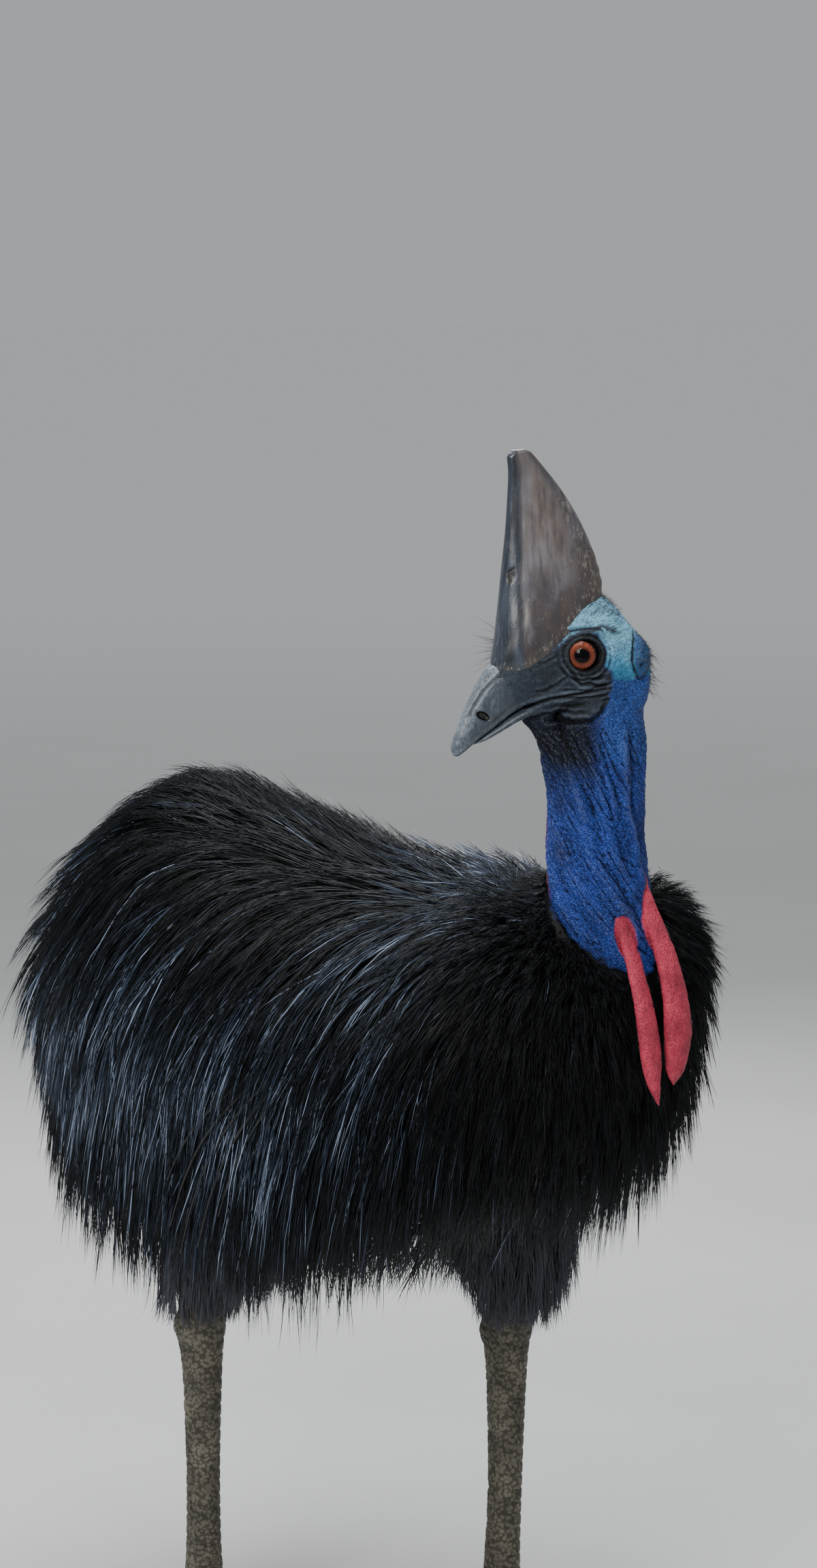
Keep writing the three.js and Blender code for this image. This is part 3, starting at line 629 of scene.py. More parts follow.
class Shader:
    """Builds one procedural material, node by node."""

    def __init__(self, name, **values):
        self.material = bpy.data.materials.new(name)
        self.material.use_nodes = True
        self.tree = self.material.node_tree
        self.surface = self.tree.nodes["Principled BSDF"]
        for key, value in values.items():
            self.feed(self.surface.inputs[key.replace("_", " ")], value)
        self.place = self.node("TexCoord", {})["Object"]

    def feed(self, socket, value):
        """Links a socket to another, or sets it to a number or a colour."""
        if isinstance(value, bpy.types.NodeSocket):
            self.tree.links.new(value, socket)
        elif value is not None:
            socket.default_value = value

    def node(self, kind, inputs, **settings):
        """Adds a node and gives back its outputs."""
        made = self.tree.nodes.new(f"ShaderNode{kind}")
        for key, value in settings.items():
            setattr(made, key, value)
        for key, value in inputs.items():
            self.feed(made.inputs[key], value)
        return made.outputs

    def noise(self, scale, detail=3.0, rough=0.5, where=None):
        where = where or self.place
        sockets = {"Vector": where, "Scale": scale, "Detail": detail, "Roughness": rough}
        return self.node("TexNoise", sockets)["Fac"]

    def voronoi(self, scale, where=None):
        return self.node("TexVoronoi", {"Vector": where or self.place, "Scale": scale})["Distance"]

    def stretched(self, scale, where=None, turn=(0, 0, 0)):
        turn = [math.radians(t) for t in turn]
        sockets = {"Vector": where or self.place, "Scale": scale, "Rotation": turn}
        return self.node("Mapping", sockets)["Vector"]

    def bent(self, amount, scale):
        """The place, pushed about by noise, for lines that wander."""
        push = self.node("TexNoise", {"Vector": self.place, "Scale": scale})["Color"]
        sockets = {0: push, 1: (amount, amount, amount), 2: self.place}
        return self.node("VectorMath", sockets, operation="MULTIPLY_ADD")["Vector"]

    def map(self, value, low, high, to_low=0.0, to_high=1.0):
        """A smooth step from one number to another."""
        sockets = {"Value": value, "From Min": low, "From Max": high}
        sockets |= {"To Min": to_low, "To Max": to_high}
        return self.node("MapRange", sockets, interpolation_type="SMOOTHSTEP")["Result"]

    def math(self, operation, a, b):
        return self.node("Math", {0: a, 1: b}, operation=operation)["Value"]

    def times(self, a, b):
        return self.math("MULTIPLY", a, b)

    def mix(self, share, a, b, kind="MIX"):
        """Two colours, each a socket, a colour's code or three linear parts."""
        a, b = (linear(x) if isinstance(x, int) else x for x in (a, b))
        a, b = ((*x, 1.0) if isinstance(x, (np.ndarray, tuple)) else x for x in (a, b))
        sockets = {"Factor": share, 6: a, 7: b}
        return self.node("Mix", sockets, data_type="RGBA", blend_type=kind)[2]

    def layers(self, colour, *rows):
        """A colour with others laid over it, each row a share, a colour and how it mixes."""
        for share, over, *kind in rows:
            colour = self.mix(share, colour, over, *kind)
        return colour

    def ramp(self, value, *stops):
        outputs = self.node("ValToRGB", {"Fac": value})
        elements = outputs[0].node.color_ramp.elements
        while len(elements) < len(stops):
            elements.new(0.5)
        for element, (spot, code) in zip(elements, stops):
            element.position = spot
            element.color = (*linear(code), 1.0)
        return outputs["Color"]

    def painted(self, name, part="Color"):
        return self.node("Attribute", {}, attribute_name=name)[part]

    def channels(self, name):
        return list(self.node("SeparateColor", {"Color": self.painted(name)}))[:3]

    def bumps(self, *rows):
        """Bumps one over the other, each row a height, a strength and a depth."""
        normal = None
        for height, strength, depth in rows:
            sockets = {"Strength": strength, "Distance": depth, "Height": height, "Normal": normal}
            normal = self.node("Bump", sockets)["Normal"]
        return normal

    def finish(self, colour, roughness, normal=None):
        for key, value in (("Base Color", colour), ("Roughness", roughness), ("Normal", normal)):
            self.feed(self.surface.inputs[key], value)
        return self.material


def skin_material():
    """Bare skin in four kinds: face, pebbled neck, grained wattle and scaled leg."""
    s = Shader("bare skin", IOR=1.45, Specular_IOR_Level=0.3)
    pebbled, grained, scaled = s.channels("kind")
    hollow = s.painted("relief", "Fac")
    wander = s.bent(0.005, 70)
    pebble = s.voronoi(500, s.stretched((1, 1, 1.7), wander, (0, 24, 10)))
    grain, speck, plate = (s.voronoi(scale, wander) for scale in (560, 900, 260))
    wrinkle = s.noise(480, 5, 0.65, s.stretched((1, 1, 1.8), wander))
    fine = s.noise(1500, 3)
    colour = s.layers(
        s.painted("colour"),
        # painted shade between the neck's pebbles and painted highlight on their crowns
        (s.times(s.map(pebble, 0.3, 0.62, 0, 0.7), pebbled), 0x454a6a, "MULTIPLY"),
        (s.times(s.map(pebble, 0.3, 0.05, 0, 0.325), pebbled), 0x86a4ee),
        # painted highlight on the wattle's grains and painted shade between them
        (s.times(s.map(grain, 0.5, 0.1, 0, 0.3), grained), 0xd26c7a),
        (s.times(s.map(grain, 0.5, 0.8, 0, 0.5), grained), 0x8a2438),
        (s.times(s.map(plate, 0.35, 0.7, 0, 0.7), scaled), 0x6a665e, "MULTIPLY"),
        (s.map(s.noise(38, 4, 0.6), 0.4, 0.68, 0, 0.5), 0x9696a0, "MULTIPLY"),
        # painted shade in the skin's hollows and painted highlight on its ridges, from the relief
        (s.map(hollow, 0, -0.7, 0, 0.92), 0x3a3a48, "MULTIPLY"),
        (s.map(hollow, 0.05, 0.8, 0, 0.08), 0xb9c6d8),
        (s.map(speck, 0.25, 0.08, 0, 0.45), (1.9, 1.9, 1.9), "MULTIPLY"),
        # fine specks lightened: painted glints
        (s.map(fine, 0.6, 0.75, 0, 0.5), (1.8, 1.8, 1.8), "MULTIPLY"),
    )
    normal = s.bumps(
        (s.times(s.map(pebble, 0.8, 0.1), pebbled), 0.9, 0.0012),
        (s.times(s.map(grain, 0.8, 0.1), grained), 0.7, 0.0008),
        (wrinkle, 0.55, 0.0008),
        (s.map(speck, 0.7, 0.1), 0.55, 0.0005),
        (s.times(s.map(plate, 0.8, 0.2), scaled), 0.6, 0.0008),
        (fine, 0.25, 0.0003),
    )
    return s.finish(colour, s.map(wrinkle, 0.3, 0.7, 0.4, 0.62), normal)


def horn_material():
    """Weathered horn of the casque: grey-brown sides, a blue-grey polished band in front."""
    s = Shader("casque horn", IOR=1.54, Coat_Weight=0.2, Coat_Roughness=0.2)
    band, worn, blotch = s.channels("kind")
    wander = s.bent(0.008, 22)
    cloud = s.noise(30, 4, 0.6, s.stretched((1, 1, 0.5), wander))
    streak = s.noise(150, 5, 0.65, s.stretched((1, 1, 0.1), wander))
    shade = s.painted("shade", "Fac")
    side = s.layers(
        # painted light: the ramp follows 'shade', lighter high on the blade
        s.ramp(shade, (0, 0x29272d), (0.4, 0x454246), (0.7, 0x6c686b), (1, 0x7a7271)),
        (s.map(cloud, 0.4, 0.62, 0, 0.55), 0x57493f),
        # pale lilac-grey patches: painted sheen
        (s.map(cloud, 0.5, 0.36, 0, 0.45), 0x7c7881),
        (s.map(streak, 0.42, 0.68, 0, 0.6), 0x353137),
    )
    front = s.ramp(streak, (0.3, 0x14181f), (0.5, 0x29303b), (0.75, 0x4a5464))
    dash = s.voronoi(330, s.stretched((1, 1, 0.2), s.bent(0.007, 80), (0, -12, 0)))
    patch = s.map(s.noise(60, 4, 0.65), 0.42, 0.58)
    fleck = s.times(s.map(dash, 0.2, 0.08), s.times(patch, worn))
    dots = s.times(s.map(s.voronoi(560), 0.22, 0.12), s.map(s.noise(90, 3), 0.48, 0.6))
    pits = s.times(s.map(s.voronoi(190), 0.1, 0.05), s.map(s.noise(40, 2), 0.5, 0.58))
    flaked = s.noise(330, 5, 0.7, s.stretched((1, 1, 0.35), s.bent(0.004, 120)))
    scuffed = s.times(s.map(worn, 0.7, 1.0), s.map(flaked, 0.5, 0.62))
    colour = s.layers(
        s.mix(band, side, front),
        (s.times(fleck, 0.7), 0xb0a79d),
        (s.times(dots, s.map(worn, 0, 1, 0.2, 0.6)), 0xa0978d),
        (s.times(pits, 0.9), 0x100e0d),
        (s.times(scuffed, 0.55), 0x8d857a),
        (blotch, 0x060505),
    )
    chalky = s.math("MAXIMUM", fleck, scuffed)
    rough = s.mix(band, (0.38, 0.38, 0.38), (0.27, 0.27, 0.27))
    normal = s.bumps(
        (streak, 0.4, 0.001),
        (chalky, 0.5, 0.0004),
        (s.math("MAXIMUM", pits, blotch), -0.7, 0.0008),
        (s.noise(600, 3), 0.15, 0.0003),
    )
    return s.finish(colour, s.mix(chalky, rough, (0.7, 0.7, 0.7)), normal)


def bill_material():
    """Slate horn of the bill, paler and scuffed along its top and near its tip."""
    s = Shader("bill horn", IOR=1.54, Coat_Weight=0.1, Coat_Roughness=0.3)
    pale, pit, fleshy = s.channels("kind")
    streak = s.noise(170, 5, 0.65, s.stretched((1, 1, 0.4), s.bent(0.004, 40)))
    scuff = s.map(s.noise(380, 5, 0.7), 0.42, 0.62)
    specks = s.times(s.map(s.voronoi(650), 0.15, 0.06), s.map(pale, 0, 0.6, 0.15, 1.0))
    colour = s.layers(
        s.ramp(streak, (0.3, 0x262d35), (0.55, 0x3c4650), (0.8, 0x66727f)),
        (s.times(pale, s.map(scuff, 0, 1, 0.35, 0.9)), 0x77828c),
        (s.times(specks, 0.55), 0xb3b9bd),
        (fleshy, BILL_ROOT),
        (pit, 0x040404),
    )
    normal = s.bumps(
        (s.times(s.noise(480, 5, 0.65), fleshy), 0.6, 0.0009),
        (streak, 0.35, 0.0008),
        (s.noise(700, 3), 0.2, 0.0004),
    )
    return s.finish(colour, s.map(scuff, 0, 1, 0.3, 0.52), normal)


def eye_material():
    """A wet eye: black pupil, orange-brown iris with fine spokes and a dark rim."""
    wet = {"Coat_Weight": 1.0, "Coat_Roughness": 0.015, "Coat_IOR": 1.25}
    s = Shader("wet eye", IOR=1.4, Specular_IOR_Level=0.0, **wet)
    spoke = s.painted("spoke", "Fac")
    spot = s.math("ADD", s.painted("ring", "Fac"), s.times(spoke, 0.025))
    pupil = (0, 0x010103), (0.38, 0x020205), (0.405, 0x240f0c)
    iris = (0.46, 0x5c2c20), (0.68, 0x8a4a36), (0.8, 0x76392a)
    colour = s.ramp(spot, *pupil, *iris, (0.87, 0x24110e), (0.9, 0x050505))
    colour = s.mix(s.map(spoke, 0.1, 0.9, 0, 0.45), colour, 0x8a6a5a, "MULTIPLY")
    return s.finish(colour, 0.25)


def claw_material():
    """Dark streaked horn."""
    s = Shader("claw horn", IOR=1.54)
    streak = s.noise(140, 4, 0.6, s.stretched((1, 0.2, 1)))
    colour = s.ramp(streak, (0.3, 0x1d1b19), (0.6, 0x38332f), (0.85, 0x5d564f))
    rough = s.map(s.noise(300, 3), 0.3, 0.7, 0.28, 0.5)
    return s.finish(colour, rough, s.bumps((streak, 0.3, 0.0006)))


def quill_material():
    """Smooth black quill."""
    s = Shader("quill", IOR=1.5)
    streak = s.noise(400, 3)
    colour = s.ramp(streak, (0.3, 0x050506), (0.7, 0x121114))
    return s.finish(colour, s.map(streak, 0.3, 0.7, 0.32, 0.45), s.bumps((streak, 0.2, 0.0004)))


def plumage_material():
    """Black hair-like feathers, each barb a little lighter or darker, with a painted blue-grey
    sheen in the tone's upper stops.
    """
    s = Shader("plumage", IOR=1.5, Specular_IOR_Level=0.3)
    dark = (0, 0x020406), (0.3, 0x070b10), (0.55, 0x18202b)
    # the upper stops are the painted blue-grey sheen
    colour = s.ramp(s.painted("tone", "Fac"), *dark, (0.8, 0x526078), (1, 0xaabbd6))
    return s.finish(colour, s.map(s.noise(260, 2), 0.3, 0.7, 0.3, 0.46))


def floor_material():
    """Pale floor, a little lighter far off, where only the room lights it."""
    s = Shader("studio floor", Roughness=0.9)
    away = s.node("VectorMath", {0: s.place}, operation="LENGTH")["Value"]
    near = s.mix(s.map(s.noise(1.5, 4), 0.3, 0.7), (0.56, 0.56, 0.55), (0.6, 0.6, 0.59))
    colour = s.mix(s.map(away, 1.5, 14.0), near, (0.985, 0.985, 0.985))
    return s.finish(colour, None, s.bumps((s.noise(300, 2), 0.05, 0.0005)))


# Skin

FACE_BLACK = linear(0x252d38)
BILL_ROOT = 0x2e3742
LIP_GREY = linear(0x4d5966)
TURQUOISE = linear(0x8fd2ee)
TURQUOISE_DEEP = linear(0x4392ba)
COBALT = linear(0x385abf)
CHEEK_BLUE = linear(0x4070c8)
EAR_BLUE = linear(0x2a5586)
EAR_FURROW_SHADE = linear(0x12283f)
# near black: the throat's black skin with painted shadow under the jaw
THROAT = linear(0x04060b)
NAPE_RED = linear(0x9e3038)
WATTLE_RED = linear(0xc84258)
LEG_GREY = linear(0x6b675b)
# near black: painted shade for the skin under the coat
UNDER_COAT_SHADE = linear(0x020203)

# Lines and patches in the head's side view, as places (u, w)
MOUTH = [(136, -16), (115, 0), (98, 12), (80, 26), (65, 33.5), (50, 38), (23, 43), (-5, 48)]
FACE_FOLDS = [
    # line, depth, width
    ([(37, 58.5), (26, 51.7), (12, 49.7), (-2, 50.3)], 2.2, 1.3),
    ([(40, 64), (29, 56), (14.5, 54.4), (0, 59.9)], 1.7, 1.2),
    ([(48, 45), (26, 46.5), (4, 50.5), (-8, 54)], 1.4, 1.1),
    ([(52, 36.7), (26, 38), (4, 40.8), (-2, 44)], 1.3, 1.2),
    ([(70, 44), (58, 47), (46, 52), (38, 60)], 1.0, 1.2),
    ([(60, 30.5), (46, 30), (28, 30), (14, 33)], 0.8, 1.3),
    ([(52, 25), (40, 25.5), (28, 24), (16, 25)], 0.7, 1.2),
    ([(50, 88), (38, 97), (24, 101), (8, 100), (0, 94)], 1.5, 1.4),
    ([(66, 70), (56, 72), (46, 78)], 0.8, 1.2),
]
JAW_EDGE = [(52, 17), (44, 18), (30, 16), (17, 17), (8, 24), (2, 34)]
TURQUOISE_PATCH = [
    (64, 79), (50, 88), (45, 99), (33, 113), (19, 128), (5, 145), (-40, 145), (-70, 100),
    (-70, 62), (-34, 56), (-24, 53), (-4, 54), (-1, 60), (6, 67), (3, 84), (12, 96), (26, 98),
    (38, 91), (50, 83),
]
FACE_PATCH = [
    (150, -40), (150, 100), (70, 84), (62, 79), (50, 83), (38, 91), (26, 98), (12, 96), (3, 84),
    (6, 67), (-1, 60), (-3, 54), (-4, 47), (0, 38), (3, 30), (10, 22), (22, 17.5), (40, 18),
    (56, 21), (68, 22), (84, 12), (110, -8), (140, -40),
]


def over_mouth(u, w):
    """Height over the mouth's line in the side view."""
    line_u, line_w = np.array(MOUTH)[::-1].T
    return w - np.interp(u, line_u, line_w)


def ear_oval(u, w, long, high):
    """1 on the ear's outline, less inside it."""
    return np.hypot((u + 37 + 0.12 * (w - 77)) / long, (w - 77) / high)


def sculpt_head(points, normals):
    """Lids, ears, mouth line, lips and folds, as moves of the head's own vertices."""
    q = to_head(points)
    u, v, w = q.T
    n = columns(normals @ AHEAD, normals @ ASIDE, normals[:, 2])
    aside = np.abs(v)
    flank = ease(6, 16, aside)
    view = q[:, [0, 2]]
    wave = 1.5 * columns(ripple(q, 9, 4), ripple(q, 9, 5))

    # mouth line with a lip above and below it
    d, along = line_distance(view, MOUTH)
    over = over_mouth(u, w)
    front = ease(3, 9, aside)
    rise = -2.8 * bell(d, 1.1) * ease(1.0, 0.93, along) * front
    to_bill = ease(56, 74, u)
    upper = (1.5 - 0.6 * to_bill) * bell(d, 2.2, 4.2 - 0.8 * to_bill)
    rise += np.where(over > 0, upper, 0.8 * bell(d, 1.8, 3.4)) * ease(1.0, 0.85, along) * front

    for fold, depth, width in FACE_FOLDS:
        d, along = line_distance(view + wave, fold)
        ends = ease(0, 0.15, along) * ease(1, 0.8, along) * flank
        rise -= depth * (bell(d, width) - 0.5 * bell(d, 1.4 * width, 2.4 * width)) * ends

    # the jaw stands proud of the throat behind its lower edge
    d, along = line_distance(view + 0.6 * wave, JAW_EDGE)
    rise -= 2.8 * bell(d, 2.4) * ease(0, 0.25, along) * ease(1, 0.85, along) * flank
    rise += 0.8 * bell(d, 2.6, 5) * (over > -26) * flank

    # ear: a raised oval with a furrow ahead of it
    ear = ear_oval(u, w, 10, 19) + 0.08 * ripple(q, 6, 13)
    wide = ease(10, 22, aside)
    rise += (3.4 * ease(1.15, 0.45, ear) - 1.8 * bell(ear, 0.2, 1.22) * ease(-44, -34, u)) * wide
    rise -= 2.2 * bell(np.hypot(u + 33, w - 66), 3.0) * flank

    # fine wrinkles, along the mouth on the cheek and round the eye
    r = np.hypot(u - EYE_U, w - EYE_W)
    turn = np.arctan2(w - EYE_W, u - EYE_U)
    level = columns(u * 0.4, w + 0.25 * u, v * 0.3)
    bare = ease(100, 88, w)
    by_eye = ease(38, 26, r)
    rise -= 0.3 * crease_net(level, 3.4, 11) * bare * (1 - by_eye)
    rise -= 0.25 * crease_net(columns(turn * 5, r, 0 * r), 3.6, 12) * by_eye * ease(19, 23, r)
    rise += 0.28 * ripple(level, 2.2, 7) + 0.35 * ripple(q, 8, 8) + 0.3 * ripple(q, 2.0, 14) * bare
    moved = q + n * rise[:, None]

    # lids: a thin rim, a shallow groove and a loose fold that is fuller below
    du, dw = (moved[:, 0] - EYE_U) / 1.05, moved[:, 2] - EYE_W
    r, turn = np.hypot(du, dw), np.arctan2(dw, du)
    on_side = aside > 18
    lower = ease(0.3, -0.8, np.sin(turn))
    loose = 1 + 0.5 * ripple(columns(turn * 3, 0 * r, 0 * r), 1.0, 15)
    lid = 1.9 * bell(r, 1.7, 15.4) - 0.45 * bell(r, 0.9, 18.4)
    lid += (0.2 + 0.6 * lower) * loose * bell(r, 1.6, 20.6)
    lid -= (0.3 + 0.9 * lower) * loose * bell(r, 1.1, 23.4)
    lid += 0.4 * lower * bell(r, 2.0, 26.5) - 1.4 * bell(r, 8, 17)
    lid += 0.16 * np.sin(turn * 23 + 2 * np.sin(turn * 5)) * bell(r, 3, 19.5)
    reach = np.abs(moved[:, 1]) + lid * on_side
    ball = EYE_V + np.sqrt(np.maximum(EYE_RADIUS**2 - r**2, 0)) - 1.3
    open_eye = ease(14.2, 13.2, r) * on_side
    reach = reach * (1 - open_eye) + np.minimum(ball, reach) * open_eye
    moved[:, 1] = np.where(on_side, np.sign(v) * reach, moved[:, 1])
    return from_head(moved)


NECK_RIDGES = [
    # (turn in degrees, height) down the neck, rise, width in degrees
    ([(-5, 985), (-2, 950), (4, 900), (14, 860), (22, 832), (26, 800)], 4.2, 8),
    ([(-66, 930), (-56, 890), (-49, 860), (-30, 835), (-18, 812), (-14, 790)], 3.6, 8),
    ([(-110, 900), (-96, 880), (-77, 850), (-50, 810), (-22, 770), (-5, 740)], 3.0, 9),
    ([(-130, 880), (-112, 850), (-88, 815), (-60, 785)], 2.6, 8),
    ([(-62, 968), (-53, 958), (-38, 930), (-30, 910)], 2.4, 5),
    ([(-44, 972), (-38, 950), (-24, 925), (-16, 905)], 2.2, 5),
    ([(-82, 962), (-74, 940), (-60, 915), (-52, 900)], 2.0, 5),
    ([(-30, 900), (-24, 880), (-12, 850)], 2.0, 6),
    ([(40, 985), (38, 930), (42, 880), (48, 850)], 2.6, 10),
    ([(-120, 975), (-115, 930), (-106, 900)], 2.0, 9),
    ([(90, 960), (84, 910), (76, 860)], 2.0, 10),
    ([(150, 960), (140, 910), (128, 870)], 2.0, 12),
]


def ridge(turn, height, line, width):
    """1 on a line that runs down the neck through (turn, height) places, falling off to 0."""
    turns, heights = np.array(line, float)[::-1].T
    off = (turn - np.interp(height, heights, turns) + 180) % 360 - 180
    low, high = heights[0], heights[-1]
    return bell(off, width) * ease(low - 12, low + 8, height) * ease(high + 12, high - 25, height)


def wattle_share(points):
    """1 on a wattle, 0 on the neck that it hangs from."""
    found = np.zeros(len(points))
    height = points[:, 2]
    for form in WATTLES:
        heights = form.table[-2:0:-1, 2]
        share = np.interp(height, heights, np.linspace(0, 1, len(heights))[::-1])
        middle, major, minor = form.lines(share)
        d = points - middle
        a = np.sum(d * unit(major), 1) / (np.linalg.norm(major, axis=1) + 1.5)
        b = np.sum(d * unit(minor), 1) / (np.linalg.norm(minor, axis=1) + 1.5)
        low, top = heights[0], heights[-1]
        near = ease(1.35, 1.0, np.hypot(a, b)) * ease(top + 9, top - 4, height)
        found = np.maximum(found, near * ease(low - 14, low - 6, height))
    return found


def sculpt_neck(points, normals):
    """Folds that wind down the neck to the wattles, and the pebbles of its skin."""
    turn, height = around_neck(points)[0], points[:, 2]
    rise = np.zeros(len(points))
    for line, depth, width in NECK_RIDGES:
        rise += depth * ridge(turn, height, line, width)
        rise -= 0.5 * depth * ridge(turn - 1.9 * width, height, line, 0.7 * width)
    across = turn * 0.87 + 0.62 * (height - 850)
    wound = columns(across, height * 0.24, 0 * turn)
    rise += 1.5 * ripple(wound, 15, 21)
    rise -= 1.2 * crease_net(wound, 10, 22) + 0.7 * crease_net(wound, 5, 23)
    pebbles = cell_gap(columns(across, height * 0.6, 0 * turn), 3.6, 31)
    rise += 0.75 * ease(0.0, 0.35, pebbles) - 0.35
    bare = ease(995, 968, height) * (1 - wattle_share(points))
    return points + normals * (rise * bare)[:, None]


HEAD_FROM = 965


def head_and_neck(size):
    """Head, throat, neck and wattles as one closed skin, with their folds and grain."""
    head = sweep(SKULL, 96, 90, -0.3, 0, 0.64), sweep(JAW, 64, 40, -0.2, 0, 0.34)
    parts = [(from_head(v), f) for v, f in (*head, sweep(THROAT_WEB, 48, 40))]
    parts += [sweep(NECK, 96, 90, 0, 0, 0.98), *(sweep(form, 48, 80) for form in WATTLES)]
    mesh = remeshed("head and neck", parts, size)
    points = relax(points_of(mesh), mesh, 6)
    place(mesh, points)
    normals = normals_of(mesh)
    high = points[:, 2] > HEAD_FROM
    shaped = sculpt_neck(points, normals)
    shaped[high] = sculpt_head(shaped[high], normals[high])
    grain = 0.9 * ripple(points, 26, 40) + 0.4 * ripple(points * [1, 1, 0.6], 10, 41)
    grain += 0.25 * ripple(points, 4, 42) + 0.25 * ease(0, 0.4, cell_gap(points, 2.4, 43)) - 0.15
    grain -= 0.4 * crease_net(points * [1, 1, 0.5], 9, 44)
    place(mesh, shaped + normals * (grain * wattle_share(points))[:, None])
    return mesh


SOLE_TOP = 46


def scutes(run, spacing, first, points, size, salt, heights, front):
    """Broad plates in front and small scales behind, as a height at each place."""
    ring = (run / spacing) % 1.0
    plate = ease(0.0, first, ring) * ease(1.0, 0.7, ring) - 0.6
    scale = ease(0, 0.28, cell_gap(points, size, salt)) - 0.6
    return heights[0] * plate * front + heights[1] * scale * (1 - front)


def feet(size):
    """Shanks and toes, with scutes down the front and small scales behind."""
    parts = []
    for leg in LEGS.values():
        parts.append(sweep(shank_form(leg), 48, 120))
        parts += [sweep(toe_form(leg, toe), 36, 60) for toe in TOES.values()]
    mesh = remeshed("feet", parts, size)
    points = relax(points_of(mesh), mesh, 3)
    place(mesh, points)
    normals = normals_of(mesh)
    rise = np.zeros(len(points))
    for leg in LEGS.values():
        own = (points[:, 0] * leg["side"] > 0) & (points[:, 2] > SOLE_TOP)
        x, _, z = points[own].T
        middle = np.interp(z, [0, 80, 180, 300, 335], [0, 0, 5, 9, 10])
        zig = 3.0 * np.cos((np.abs(x) - STANCE - middle) / 9)
        front = ease(-0.1, 0.5, -normals[own][:, 1])
        scales = points[own] * [1, 1, 0.8]
        rise[own] = scutes(z + zig, 13.5, 0.12, scales, 7.5, 51, (1.9, 1.4), front)
        for toe in TOES.values():
            root, way, across = toe_frame(leg, toe)
            d = points - root
            run = d @ way
            near = (np.abs(d @ across) < toe["thick"] * 1.15) & (run > 24)
            near &= (run < toe["length"] * 1.03) & (points[:, 2] < SOLE_TOP)
            top = ease(0.2, 0.7, normals[near][:, 2])
            rise[near] = scutes(run[near], 10.5, 0.14, points[near], 5.5, 61, (1.6, 1.0), top)
    shaped = points + normals * rise[:, None]
    shaped[:, 2] = np.maximum(shaped[:, 2], 0.0)
    place(mesh, shaped)
    return mesh


def trunk(size):
    """The torso and thighs under the plumage."""
    parts = [sweep(TORSO, 64, 90, lambda share: -core_depth(share) - 1.0, 0, 0.985)]
    parts += [sweep(thigh_form(leg), 48, 40, -6) for leg in LEGS.values()]
    mesh = remeshed("trunk", parts, size)
    place(mesh, gathered(relax(points_of(mesh), mesh, 3), 4.0))
    return mesh


def ahead_of_seam(u, w):
    """Distance ahead of the line in the head's side view where the bill leaves the face."""
    return ((u - 67) * 52 - (w - 18) * 36) / math.hypot(52, 36)


